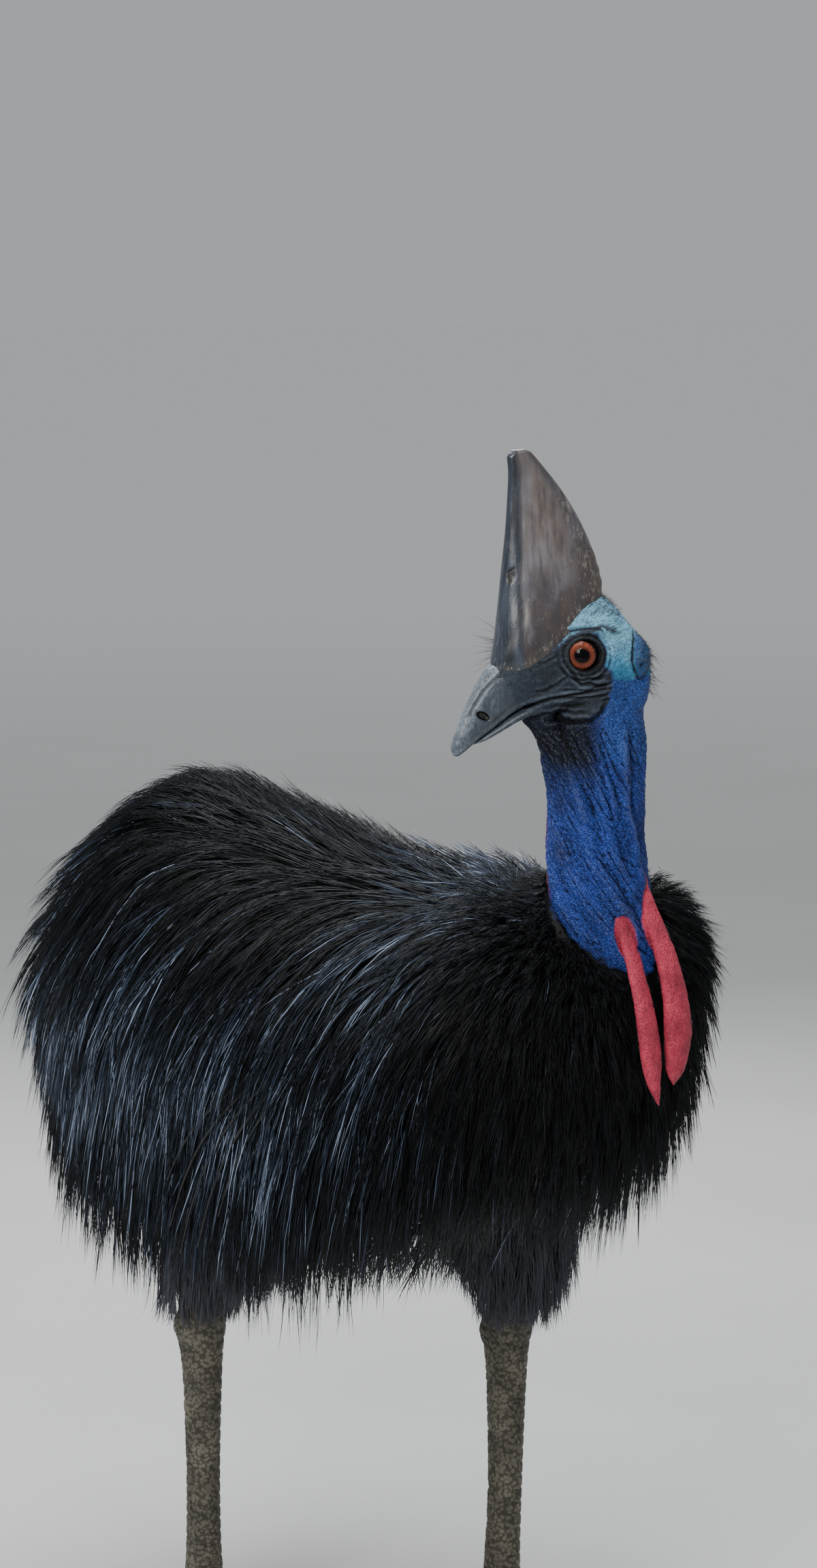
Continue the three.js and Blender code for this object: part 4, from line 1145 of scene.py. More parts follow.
def paint_skin(mesh):
    """The bird's markings, each a named colour over its own patch of skin, and painted shade under
    the jaw, before the ear and under the coat.
    """
    points = points_of(mesh)
    height = points[:, 2]
    q = to_head(points)
    squashed = q * [1, 1, 2]
    u, v, w = q.T
    view = q[:, [0, 2]] + 1.6 * columns(ripple(q, 7, 71), ripple(q, 7, 72))
    view = view + 0.9 * columns(ripple(q, 2.5, 78), ripple(q, 2.5, 79))
    bare = above_edge(points)
    # dark throat: black skin and painted shadow, darkest just under the jaw and fading down the
    # throat
    dark = ease(-82, -2, w + 16 * ripple(q, 16, 81)) * ease(-6, 24, u) * ease(44, 24, w)
    back = np.abs((around_neck(points)[0] + 360) % 360 - 180)
    nape = ease(70, 44, back) * ease(66, 30, bare) * ease(935, 890, height)
    nape = nape * ease(-0.6, 0.3, ripple(points, 3.0, 73) + 0.4)
    teal = within(view, TURQUOISE_PATCH, 2.2)
    low = ease(96, 58, w + 6 * ripple(q, 9, 82))[:, None]
    teal_tone = TURQUOISE * (1 - low) + TURQUOISE_DEEP * low
    ear = ear_oval(u, w, 11, 20)
    # painted shade in the furrow ahead of the ear
    furrow = bell(ear + 0.12 * ripple(q, 4, 89), 0.16, 1.16) * ease(-44, -34, u)
    face = within(view, FACE_PATCH, 2.2) * ease(-14, -4, w)
    by_bill = ease(-16, 4, ahead_of_seam(u, w))[:, None]
    face_tone = FACE_BLACK * (1 - by_bill) + linear(BILL_ROOT) * by_bill
    d, along = line_distance(view, MOUTH)
    over = over_mouth(*view.T)
    lip = bell(d, 2.4, 4.2) * (over > 0) + 0.5 * bell(d, 1.6, 3.4) * (over < 0)
    lip = lip * ease(0.95, 0.75, along) * face
    r = np.hypot((u - EYE_U) / 1.05, w - EYE_W)
    near_eye = (w > 40) & (np.abs(v) > 16)
    red = ease(0.2, 0.75, wattle_share(points) + 0.25 * ripple(points, 4, 86))
    # painted shade: skin under the coat's edge is made near black, so gaps in the coat read as
    # shade
    hidden = ease(0.5, -4, bare + 2.5 * ripple(points, 6, 88)) * (1 - red)
    leg = ease(402, 392, height)
    colour = COBALT
    for share, patch, mottle in (
        (1 + 0 * u, COBALT, 0.3 * ripple(points, 26, 74) + 0.15 * ripple(points, 8, 80)),
        # black throat skin with painted shadow under the jaw
        (0.97 * dark, THROAT, 0),
        (nape, NAPE_RED, 0),
        (0.8 * ease(-34, -4, w) * ease(14, -4, u), CHEEK_BLUE, 0),
        (teal, teal_tone, 0.3 * ripple(squashed, 4, 75) + 0.2 * ripple(squashed, 1.8, 98)),
        (ease(1.12, 0.92, ear), EAR_BLUE, 0.4 * ripple(squashed, 3.5, 83)),
        # painted shade in the ear's furrow
        (0.6 * furrow * (0.7 + 0.6 * ripple(q, 3, 97)), EAR_FURROW_SHADE, 0),
        (face, face_tone, 0.3 * ripple(q, 5, 84)),
        (0.8 * lip * (0.7 + 0.5 * ripple(q, 3, 85)), LIP_GREY, 0),
        (0.9 * bell(d, 0.9) * face, linear(0x050506), 0),
        (ease(20.5, 18.5, r) * near_eye, linear(0x101214), 0),
        (0.5 * bell(r, 1.2, 17.2) * near_eye, linear(0x3f4a54), 0),
        (ease(15.0, 14.0, r) * near_eye, linear(0x050505), 0),
        (red, WATTLE_RED, 0.22 * ripple(points, 12, 76) + 0.12 * ripple(points, 4, 87)),
        # painted shade on the skin under the coat
        (hidden, UNDER_COAT_SHADE, 0),
        (leg, LEG_GREY, 0.3 * ripple(points, 14, 77)),
    ):
        share = np.clip(share, 0, 1)[:, None]
        colour = colour * (1 - share) + patch * (1 + np.reshape(mottle, (-1, 1))) * share
    paint(mesh, "colour", np.clip(colour, 0, 1))
    pebbled = np.clip(1 - face, 0, 1) * (1 - red) * (1 - leg) * (1 - 0.5 * teal) * (1 - hidden)
    paint(mesh, "kind", columns(pebbled, red, leg))
    # relief: how far the skin stands out or sinks in, for painted shade in hollows and painted
    # highlight on ridges
    relief = np.sum((points - relax(points, mesh, 14)) * normals_of(mesh), 1)
    relief = relief * (1 + 0.9 * leg) * (1 - hidden) * (1 - 0.75 * red) * (r > 16)
    paint(mesh, "relief", np.clip(relief / 0.9, -1, 1))


# Feathers


def flat(v, normal):
    return v - normal * np.sum(v * normal, -1, keepdims=True)


# A path leaves the body where this part of its normal points down, and then sinks as it runs
HANG_FROM = -0.18
HANG_PER_MM = 0.35 / 63


def walk(form, share, angle, lie, length, nodes, fine=2):
    """Paths over a form along the lie of the coat. Where the form turns under, they hang free."""
    stride = (length / (nodes - 1) / fine)[:, None]
    point, normal, way = form.point(share, angle), form.normal(share, angle), lie(share, angle)
    free = np.zeros(len(share), bool)
    path = []
    for i in range((nodes - 1) * fine + 1):
        free = free | (share < 0.03) | (share > 0.985)
        if i:
            free |= normal[:, 2] < HANG_FROM
        sunk = unit(way + (DOWN - way) * HANG_PER_MM * stride)
        way = np.where(free[:, None], sunk, unit(flat(lie(share, angle), normal)))
        normal = unit(flat(normal, way))
        if i % fine == 0:
            path.append((point, normal, way))
        along, around = (slope / 0.02 for slope in form.slopes(share, angle, 0.01))
        pairs = (along, along), (along, around), (around, around), (way, along), (way, around)
        aa, ab, bb, wa, wb = (np.sum(x * y, 1) for x, y in pairs)
        scale = stride[:, 0] / np.maximum(aa * bb - ab * ab, 1e-6)
        next_share = np.clip(share + (wa * bb - wb * ab) * scale, 0.02, 0.995)
        next_angle = angle + (wb * aa - wa * ab) * scale
        share, angle = np.where(free, share, next_share), np.where(free, angle, next_angle)
        point = np.where(free[:, None], point + way * stride, form.point(share, angle))
        normal = np.where(free[:, None], normal, form.normal(share, angle))
    return [np.stack(part, 1) for part in zip(*path)]


# How steeply the coat falls, in degrees from the line of the back, along the torso
FALL_SHARES = (0, 0.2, 0.35, 0.5, 0.62, 0.72, 0.82, 0.92, 1)
FALL_ANGLES = (58, 66, 72, 74, 68, 54, 34, 12, 0)


def torso_lie(yaw):
    """Back along the body near the spine, curving down over the flanks."""

    def lie(share, angle):
        off_spine = np.abs((angle + math.pi) % math.tau - math.pi)
        fall = np.interp(share, FALL_SHARES, FALL_ANGLES) * (0.2 + 0.8 * ease(0.1, 0.95, off_spine))
        fall = np.radians(fall)[:, None]
        return -TORSO.tangent(share) * np.cos(fall) + DOWN * np.sin(fall) + yaw

    return lie


# Steps of an even spread over a square
SPREAD_STEPS = 0.7548776662466927, 0.5698402909980532


def scatter(form, count, rng, low, high, weight):
    """Roots spread evenly over a form's surface, more of them where the weight is larger."""
    shares = np.linspace(low, high, 161)
    angles = np.linspace(-math.pi, math.pi, 181)
    middles = (shares[1:] + shares[:-1]) / 2, (angles[1:] + angles[:-1]) / 2
    share, angle = np.meshgrid(*middles, indexing="ij")
    cross = np.cross(*form.slopes(share, angle, 0.003))
    area = np.linalg.norm(cross, axis=-1) * weight(share, angle)
    rows = np.concatenate([[0], np.cumsum(area.sum(1))])
    k = np.arange(count)
    first, second = ((0.5 + k * step) % 1.0 for step in SPREAD_STEPS)
    s = np.interp(first, rows / rows[-1], shares)
    row = np.clip(np.searchsorted(shares, s) - 1, 0, len(area) - 1)
    sums = np.concatenate([np.zeros((len(area), 1)), np.cumsum(area, 1)], 1)
    mine = (sums / sums[:, -1:])[row]
    j = np.clip((mine < second[:, None]).sum(1) - 1, 0, len(angles) - 2)
    span = np.maximum(mine[k, j + 1] - mine[k, j], 1e-9)
    a = angles[j] + (second - mine[k, j]) / span * (angles[1] - angles[0])
    s = s + rng.uniform(-0.5, 0.5, count) * (shares[1] - shares[0])
    return np.clip(s, low, high), a


def along_path(path, t):
    """Places at shares t of paths (one row of t for each path), run on straight past 1."""
    nodes = path.shape[1] - 1
    x = np.clip(t, 0, 1) * nodes
    i = np.minimum(x.astype(int), nodes - 1)
    f = (x - i)[..., None]
    rows = np.arange(len(path))[:, None]
    past = np.maximum(t - 1, 0)[..., None] * nodes
    end = path[:, -1] - path[:, -2]
    return path[rows, i] * (1 - f) + path[rows, i + 1] * f + end[:, None, :] * past


def tubes(nodes, across, out, radius):
    """Solid tapering barbs with three sides, closed at the root and drawn to a point."""
    count, rings = len(nodes), nodes.shape[1] - 1
    turn = np.radians([90, 210, 330])
    corner = across[:, :rings, None] * np.cos(turn)[None, None, :, None]
    corner = corner + out[:, :rings, None] * (0.75 * np.sin(turn))[None, None, :, None]
    corner = nodes[:, :rings, None] + corner * radius[:, :rings, None, None]
    vertices = np.concatenate([corner.reshape(count, -1, 3), nodes[:, -1:]], 1)
    each, last = vertices.shape[1], (rings - 1) * 3
    tips = [(last + k, last + (k + 1) % 3, each - 1) for k in range(3)] + [(2, 1, 0)]
    start = (np.arange(count) * each)[:, None, None]
    quads = (start + ring_faces(rings - 1, 3)).reshape(-1, 4)
    return vertices.reshape(-1, 3), [quads, (start + np.array(tips)).reshape(-1, 3)]


BAKE_PATCH = 0.003


def coat_mesh(name, nodes, across, out, radius, tone, root_uv):
    """A joined mesh of barbs, each with its tone and its own small patch of the map."""
    mesh = to_mesh(name, *tubes(nodes, across, out, radius))
    rings = nodes.shape[1] - 1
    spread_tone = np.concatenate([np.repeat(tone[:, :rings], 3, axis=1), tone[:, -1:]], 1)
    paint(mesh, "tone", np.clip(spread_tone, 0, 1).ravel())
    run = np.append(np.repeat(np.arange(rings) / rings, 3), 1.0) - 0.5
    side = np.append(np.tile([-0.5, 0.0, 0.5], rings), 0.0)
    spots = (root_uv[:, None, :] + BAKE_PATCH * columns(side, run)[None]).reshape(-1, 2)
    layer = mesh.uv_layers.new(name="OFBake")
    corners = read(mesh.loops, "vertex_index", 1, np.int32)[:, 0]
    layer.data.foreach_set("uv", spots[corners].astype(np.float32).ravel())
    return mesh


def map_spot(x, y):
    """A root's place on the map, clear of the map's edge."""
    return columns(x, y) * 0.98 + 0.01


def barbs(point, normal, way, count, spread, width, rng, segments, stop):
    """Splits each feather into loose barbs that leave its shaft at a low angle."""
    owner = np.repeat(np.arange(len(point)), count)
    total = len(owner)
    tau = np.linspace(0, 1, segments + 1)[None, :]
    begin = rng.uniform(0.0, 0.52, total)
    begin[::count] = 0.0
    end = np.clip(begin + rng.uniform(0.42, 0.66, total), 0.5, 1.05)
    end[::count] = 1.0
    t = (begin[:, None] + (end - begin)[:, None] * tau) * stop[owner][:, None]
    side = rng.uniform(-1, 1, total)
    side[::count] *= 0.1
    n = unit(along_path(normal[owner], t))
    across = unit(np.cross(n, unit(along_path(way[owner], t))))
    fan = (spread[owner] * side)[:, None] * tau**0.85
    rise = rng.normal(0.25, 1, total)[:, None] * 3.2 * tau**1.8
    rise = rise + rng.uniform(-2.5, 1.2, total)[:, None] * (1 - tau)
    phase = rng.uniform(0.7, 1.9, total)[:, None]
    waver = rng.normal(0, 1, total)[:, None] * 1.5 * np.sin(tau * math.pi * phase)
    nodes = along_path(point[owner], t) + across * (fan + waver)[..., None] + n * rise[..., None]
    nodes = nodes + DOWN * (5.0 * rng.uniform(-0.3, 1, total)[:, None] * tau**2)[..., None]
    taper = np.interp(tau, [0, 0.25, 0.6, 0.85, 1], [0.7, 1.0, 0.8, 0.45, 0.1])
    radius = 0.5 * width[owner][:, None] * taper * rng.uniform(0.65, 1.35, total)[:, None]
    return owner, nodes, across, n, radius, tau


# What a user may change, and the steps


class CassowarySizes(bpy.types.PropertyGroup):
    """Sizes of the skin and of the coat."""

    head_grain: bpy.props.FloatProperty(
        name="Head grain",
        description="Spacing of the head and neck skin's vertices, in millimetres",
        default=1.1, min=0.8, max=4,
    )
    foot_grain: bpy.props.FloatProperty(
        name="Foot grain",
        description="Spacing of the leg skin's vertices, in millimetres",
        default=1.9, min=1, max=6,
    )
    trunk_grain: bpy.props.FloatProperty(
        name="Trunk grain",
        description="Spacing of the skin's vertices under the plumage, in millimetres",
        default=7.0, min=3, max=12,
    )
    feathers: bpy.props.IntProperty(
        name="Feathers", description="Feathers on the torso", default=4250, min=200, max=8000
    )
    collar_feathers: bpy.props.IntProperty(
        name="Collar feathers",
        description="Short feathers round the neck's edge",
        default=1650, min=0, max=4000,
    )
    barbs: bpy.props.IntProperty(
        name="Barbs", description="Loose barbs on each feather", default=11, min=3, max=20
    )
    barb_width: bpy.props.FloatProperty(
        name="Barb width",
        description="Width of one barb at its thickest",
        default=0.0013, subtype="DISTANCE", unit="LENGTH",
    )
    lens: bpy.props.FloatProperty(
        name="Lens", description="Focal length of the camera", default=100.0, unit="CAMERA"
    )


class CASSOWARY_OT_skin(bpy.types.Operator):
    """One skin over the head, neck, wattles, trunk, legs and toes"""

    bl_idname = "cassowary.skin"
    bl_label = "Skin"

    def execute(self, context):
        sizes = context.scene.cassowary_sizes
        head = head_and_neck(sizes.head_grain)
        body = trunk(sizes.trunk_grain)
        legs = feet(sizes.foot_grain)
        mesh = combined(combined(body, head, "UNION"), legs, "UNION")
        mesh.name = "skin"
        paint_skin(mesh)
        parts = ["wattle", "thigh", "shank", *(f"toe_{toe}" for toe in TOES)]
        flesh = ["head", "neck_upper", "neck_middle", "neck_lower", "torso"]
        flesh += [f"{part}_{side}" for part in parts for side in LEGS]
        piece("skin", mesh, skin_material(), flesh)
        return {"FINISHED"}


# The casque's front and rear edge, the width of its front band and the seat it stands on, each
# as pairs of places between which the line runs straight
FRONT_EDGE = (66, 82, 107, 146, 184, 242, 262), (105.7, 105.4, 102.2, 97.1, 90.8, 85.7, 88.3)
REAR_EDGE = (96, 131, 152, 176, 202, 227, 248, 263), (-1, -6, -3, 5.5, 18.5, 35, 52.5, 66)
BAND_WIDTH = (66, 84, 160, 213, 262), (28, 25, 16, 10, 8)
CASQUE_SEAT = (-6, 19, 34, 51, 65, 76, 92, 104), (128, 123, 110, 87, 78, 67, 62, 62)


class CASSOWARY_OT_casque(bpy.types.Operator):
    """The tall horn blade on the crown"""

    bl_idname = "cassowary.casque"
    bl_label = "Casque"

    def execute(self, context):
        around, along = 110, 150
        p, faces = sweep(CASQUE, around, along)
        share = np.concatenate([np.repeat(np.linspace(0, 1, along + 1), around), [0, 1]])
        middle = CASQUE.lines(share)[0]
        # the blunt top is rounded over, with a chipped lip towards the front
        p = middle + (p - middle) * (1 - 0.28 * ease(0.972, 1.0, share) ** 2)[:, None]
        side = np.sign(p[:, 1])
        u, v, w = p.T
        front_u = np.interp(w, *FRONT_EDGE)
        behind = front_u - u
        run = np.clip(behind / np.maximum(front_u - np.interp(w, *REAR_EDGE), 1), 0, 1)
        blade = p * [1, 1, 0.22]
        swell = 0.9 * ripple(blade, 8, 81) + 0.5 * ripple(blade, 3.2, 82) + 1.2 * ripple(p, 40, 87)
        off_band = behind - np.interp(w, *BAND_WIDTH)
        band = ease(4, -3, off_band + 2.0 * ripple(p, 14, 83))
        lip = bell(off_band, 2.4, 2) * ease(66, 90, w)
        p[:, 1] += side * (swell * 0.4 - 0.8 * lip) * ease(1, 4, np.abs(v))
        chip = ease(0.955, 0.99, share) * ease(12, 2, behind)
        p[:, 0] -= chip * (2.2 + 1.5 * ripple(p, 5, 84))
        ridged = ease(0.7, 0.95, run) * np.sin(w / 2.1 + 1.5 * ripple(p, 9, 85))
        p[:, 0] += 0.4 * ridged * ease(200, 150, w)
        hole = np.hypot((behind - 9.5) / 3.0, (w - 149) / 9.0) + 0.35 * ripple(p, 3, 86)
        blotch = ease(1.05, 0.8, hole)
        p[:, 1] -= side * 0.7 * blotch
        broken = ease(-0.2, 0.25, ripple(p * [1, 1, 0.5], 7, 89)) * ease(150, 185, w)
        crack = bell(behind + 1.2 * ripple(p, 12, 90), 0.8, 5.5)
        mesh = to_mesh("casque", from_head(p), faces)
        at_seat = 0.8 * ease(12, 1, w - np.interp(u, *CASQUE_SEAT))
        worn = 0.3 + 0.8 * ease(0.5, 0.95, run) * ease(262, 200, w) + at_seat
        paint(mesh, "kind", columns(band, np.clip(worn, 0, 1), np.maximum(blotch, crack * broken)))
        # painted light: lighter high up the blade, darker low down, towards the rear edge and just
        # behind the front band
        shade = ease(70, 210, w + 18 * ripple(p, 30, 88)) * ease(1.1, 0.5, run)
        paint(mesh, "shade", np.clip(shade * (0.5 + 0.5 * ease(8, 30, behind)), 0, 1))
        piece("casque_horn", mesh, horn_material(), ["casque"])
        return {"FINISHED"}


SEAM_TOP, SEAM_BOTTOM = np.array([103.0, 70.0]), np.array([67.0, 18.0])
BLOCK_HALF = 60


def ahead_of_face():
    """A block's outline in the side view, from the seam of bill and face to beyond the tip."""
    along = unit(SEAM_TOP - SEAM_BOTTOM)
    ahead = np.array([along[1], -along[0]])
    low, high = SEAM_BOTTOM - along * 90, SEAM_TOP + along * 90
    return [low, high, high + ahead * 140, low + ahead * 140]


def below_mouth(shift):
    """A block's outline in the side view, under the bill's part of the mouth line."""
    return [(u, w - shift) for u, w in MOUTH[:6]] + [(40, -70), (175, -70)]


def fleshy(q):
    """How much of the face's own skin runs on over the bill's root."""
    return ease(26, 3, ahead_of_seam(q[:, 0], q[:, 2]) + 5 * ripple(q, 6, 93))


def shape_upper_bill(mesh):
    points = points_of(mesh)
    q = to_head(points)
    u, v, w = q.T
    view = q[:, [0, 2]]
    aside = np.abs(v)
    groove, along = line_distance(view, [(93, 64), (103, 55), (112.8, 45), (122, 30), (130, 14)])
    fade = ease(1.0, 0.75, along) * ease(2, 4, aside)
    top_u = np.interp(w, [-5, 5.5, 16.5, 33.7, 48.9, 64.2], [140, 138, 131.7, 123.9, 115.7, 105.8])
    plate = ease(12, 8, top_u - u)
    du, dw, lean = u - 113.5, w - 22.5, math.radians(28)
    a = du * math.cos(lean) + dw * math.sin(lean)
    b = dw * math.cos(lean) - du * math.sin(lean)
    hole = np.hypot(a / 7.2, b / 3.9)
    lip, _ = line_distance(view, MOUTH)
    rise = (0.6 * plate - 1.7 * bell(groove, 1.1)) * fade
    rise += 0.5 * bell(hole, 0.3, 1.45) - 4.2 * ease(1.05, 0.6, hole)
    rise += 0.9 * bell(lip, 2.0, 3.4) * (0.4 + 0.6 * ease(104, 84, u))
    rise -= 0.6 * bell(lip, 1.2, 7.5) * ease(118, 108, u)
    rise += 0.25 * ripple(q, 4, 91) - ease(8, 0, ahead_of_seam(u, w)) * (1 - plate)
    place(mesh, points + normals_of(mesh) * rise[:, None])
    pale = 0.8 * plate * ease(2, 12, w) + 0.45 * ease(120, 134, u)
    pale += 0.6 * bell(lip, 2.4, 3) * ease(70, 96, u)
    pit = ease(1.02, 0.85, hole) * ease(2, 5, aside)
    pit = np.maximum(pit, 0.75 * bell(groove, 0.8) * fade)
    paint(mesh, "kind", columns(np.clip(pale, 0, 1), pit, fleshy(q) * (1 - plate)))


def shape_lower_bill(mesh):
    q = to_head(points_of(mesh))
    lip, _ = line_distance(q[:, [0, 2]], MOUTH)
    pale = 0.35 * ease(95, 118, q[:, 0]) + 0.4 * bell(lip, 1.0, 1.5)
    paint(mesh, "kind", columns(pale, pale * 0, fleshy(q)))


class CASSOWARY_OT_bill(bpy.types.Operator):
    """Upper and lower bill, a sheath of slate-grey horn"""

    bl_idname = "cassowary.bill"
    bl_label = "Bill"

    def execute(self, context):
        material = bill_material()
        for name, shells, part, shape, shift in (
            ("upper", sweep(SKULL, 120, 150, 0.25, 0.56), "DIFFERENCE", shape_upper_bill, 0.2),
            ("lower", sweep(JAW, 72, 90, 0.25), "INTERSECT", shape_lower_bill, 0.6),
        ):
            mesh = to_mesh("bill", from_head(shells[0]), shells[1])
            front = to_mesh("front", *prism(ahead_of_face(), BLOCK_HALF))
            under = to_mesh("under", *prism(below_mouth(shift), BLOCK_HALF))
            mesh = combined(combined(mesh, front, "INTERSECT"), under, part)
            shape(mesh)
            piece(f"{name}_bill", mesh, material, [f"bill_{name}"])
        return {"FINISHED"}


class CASSOWARY_OT_eyes(bpy.types.Operator):
    """Both eyes, each a glossy ball with pupil and iris"""

    bl_idname = "cassowary.eyes"
    bl_label = "Eyes"

    def execute(self, context):
        material = eye_material()
        rings, around = 64, 96
        tilts, angles = np.linspace(0, math.pi, rings + 1), np.arange(around) / around * math.tau
        tilt, angle = np.meshgrid(tilts, angles, indexing="ij")
        away, depth = EYE_RADIUS * np.sin(tilt), EYE_RADIUS * np.cos(tilt)
        for side, name in ((1, "left"), (-1, "right")):
            q = np.stack([away * np.cos(angle), side * depth, away * np.sin(angle)], -1)
            q = q.reshape(-1, 3)
            quads = ring_faces(rings, around)[:, ::-side]
            mesh = to_mesh("eye", from_head(q + [EYE_U, side * EYE_V, EYE_W]), [quads])
            ahead, up = q[:, 0] - GAZE_AHEAD, q[:, 2]
            ring = np.where(side * q[:, 1] < 0, 1.0, np.hypot(ahead, up) / EYE_RADIUS)
            turn = np.arctan2(up, ahead)
            spoke = ripple(columns(turn * 7, ring * 3, 0 * turn), 1.0, 95)
            spoke = spoke + 0.6 * ripple(columns(turn * 19, ring * 4, 0 * turn), 1.0, 96)
            paint(mesh, "ring", ring)
            paint(mesh, "spoke", spoke)
            piece(f"{name}_eye", mesh, material, [f"eye_{name}"])
        return {"FINISHED"}


class CASSOWARY_OT_claws(bpy.types.Operator):
    """Six claws, the inner ones long and straight"""

    bl_idname = "cassowary.claws"
    bl_label = "Claws"

    def execute(self, context):
        material = claw_material()
        for side, leg in LEGS.items():
            for name, toe in TOES.items():
                vertices, faces = sweep(claw_form(leg, toe), 36, 60)
                root, way, _ = toe_frame(leg, toe)
                run = (vertices - root) @ way
                growth = 0.35 * np.sin(run / 2.6) * ease(toe["length"] * 1.25, toe["length"], run)
                vertices[:, 2] = np.maximum(vertices[:, 2] + growth, 0.3)
                mesh = to_mesh("claw", vertices, faces)
                piece(f"{side}_{name}_claw", mesh, material, [f"claw_{name}_{side}"])
        return {"FINISHED"}


WING_SHARE, WING_ANGLE = 0.565, 1.42
# Length of each quill, where it starts along the body, and how its nodes lie off the flank
QUILLS = ((240, -27), (280, -14), (300, 0), (280, 14), (240, 27))
QUILL_LIFT = (-22, -9, -4, -2, 0, 1)
QUILL_ROOT = ((38, 0.05), (30, 0.6), (12, 0.95), (-12, 0.95), (-30, 0.6), (-38, 0.05))


class CASSOWARY_OT_quills(bpy.types.Operator):
    """The bare wing quills on each side"""

    bl_idname = "cassowary.quills"
    bl_label = "Wing quills"

    def execute(self, context):
        material = quill_material()
        angle = np.array([WING_ANGLE])
        root = TORSO.point(np.array([WING_SHARE]), angle, -CORE_DEPTH)[0]
        for side, name in ((1, "left"), (-1, "right")):
            mirror = np.array([side, 1, 1])
            shells = []
            for length, start in QUILLS:
                lie = lambda s, _, fan=0.85 - start * 0.004: -TORSO.tangent(s) + DOWN * fan
                share = np.array([WING_SHARE - start * 0.00085])
                path = walk(TORSO, share, angle, lie, np.array([float(length)]), 6, 5)

                def station(i):
                    p, n, w = (part[0, i] for part in path)
                    thick = 2.6 * (1 - 0.7 * i / 5)
                    axes = p + n * QUILL_LIFT[i], n * thick, unit(np.cross(w, n)) * thick
                    return [x * mirror for x in axes]

                shells.append(sweep(Form(station, [(i,) for i in range(6)]), 14, 48))
            stub = Form(
                lambda run, r: (root * mirror + at(0, run, 0), UP * 17 * r, at(11 * r, 0, 0)),
                QUILL_ROOT,
            )
            shells.append(sweep(stub, 24, 20))
            mesh = to_mesh("quills", *joined(shells))
            piece(f"{name}_quills", mesh, material, [f"wing_{name}"])
        return {"FINISHED"}


# Where the coat stops: its hem over the ankles, and the farthest it may reach fore and aft, as
# the place from which it is held back and the room that is left there
HEM, THIGH_HEM = 352.0, 338.0
FEATHER_REACH, BARB_REACH = (474, 30), (496, 14)
COAT_NAMES = ("rump", "hips", "saddle", "flanks", "back", "shoulders", "breast", "ruff")
FEATHER_NODES = 9
# Length of the torso's feathers from rump to neck
LENGTH_SHARES = (0, 0.1, 0.19, 0.28, 0.37, 0.455, 0.54, 0.62, 0.7, 0.78, 0.86, 0.93, 1)
LENGTHS = (120, 150, 180, 190, 195, 190, 178, 160, 142, 124, 104, 88, 78)


def held_back(reach, start, room):
    """Reach that slows beyond start and never gets further than room past it."""
    past = np.maximum(reach - start, 0)
    return reach - past + room * (1 - np.exp(-past / room))


def below_edge(share, angle):
    """How far under the neck's edge a root lies."""
    root = TORSO.point(share, angle, -core_depth(share))
    return -above_edge(root.reshape(-1, 3)).reshape(np.shape(share))


def body_weight(share, angle):
    """Fewer feathers under the belly, more towards the neck."""
    under = ease(-0.45, -0.85, TORSO.normal(share, angle)[..., 2])
    return (1 - 0.75 * under) * (1 + 1.2 * ease(0.76, 0.97, share))


def collar_weight(share, angle):
    """Short feathers in a band along the neck's edge."""
    below = below_edge(share, angle)
    edge = ease(62, 20, below) + 0.9 * ease(16, 3, below)
    return ease(-2, 1, below) * (0.15 + edge) * (below < 70)


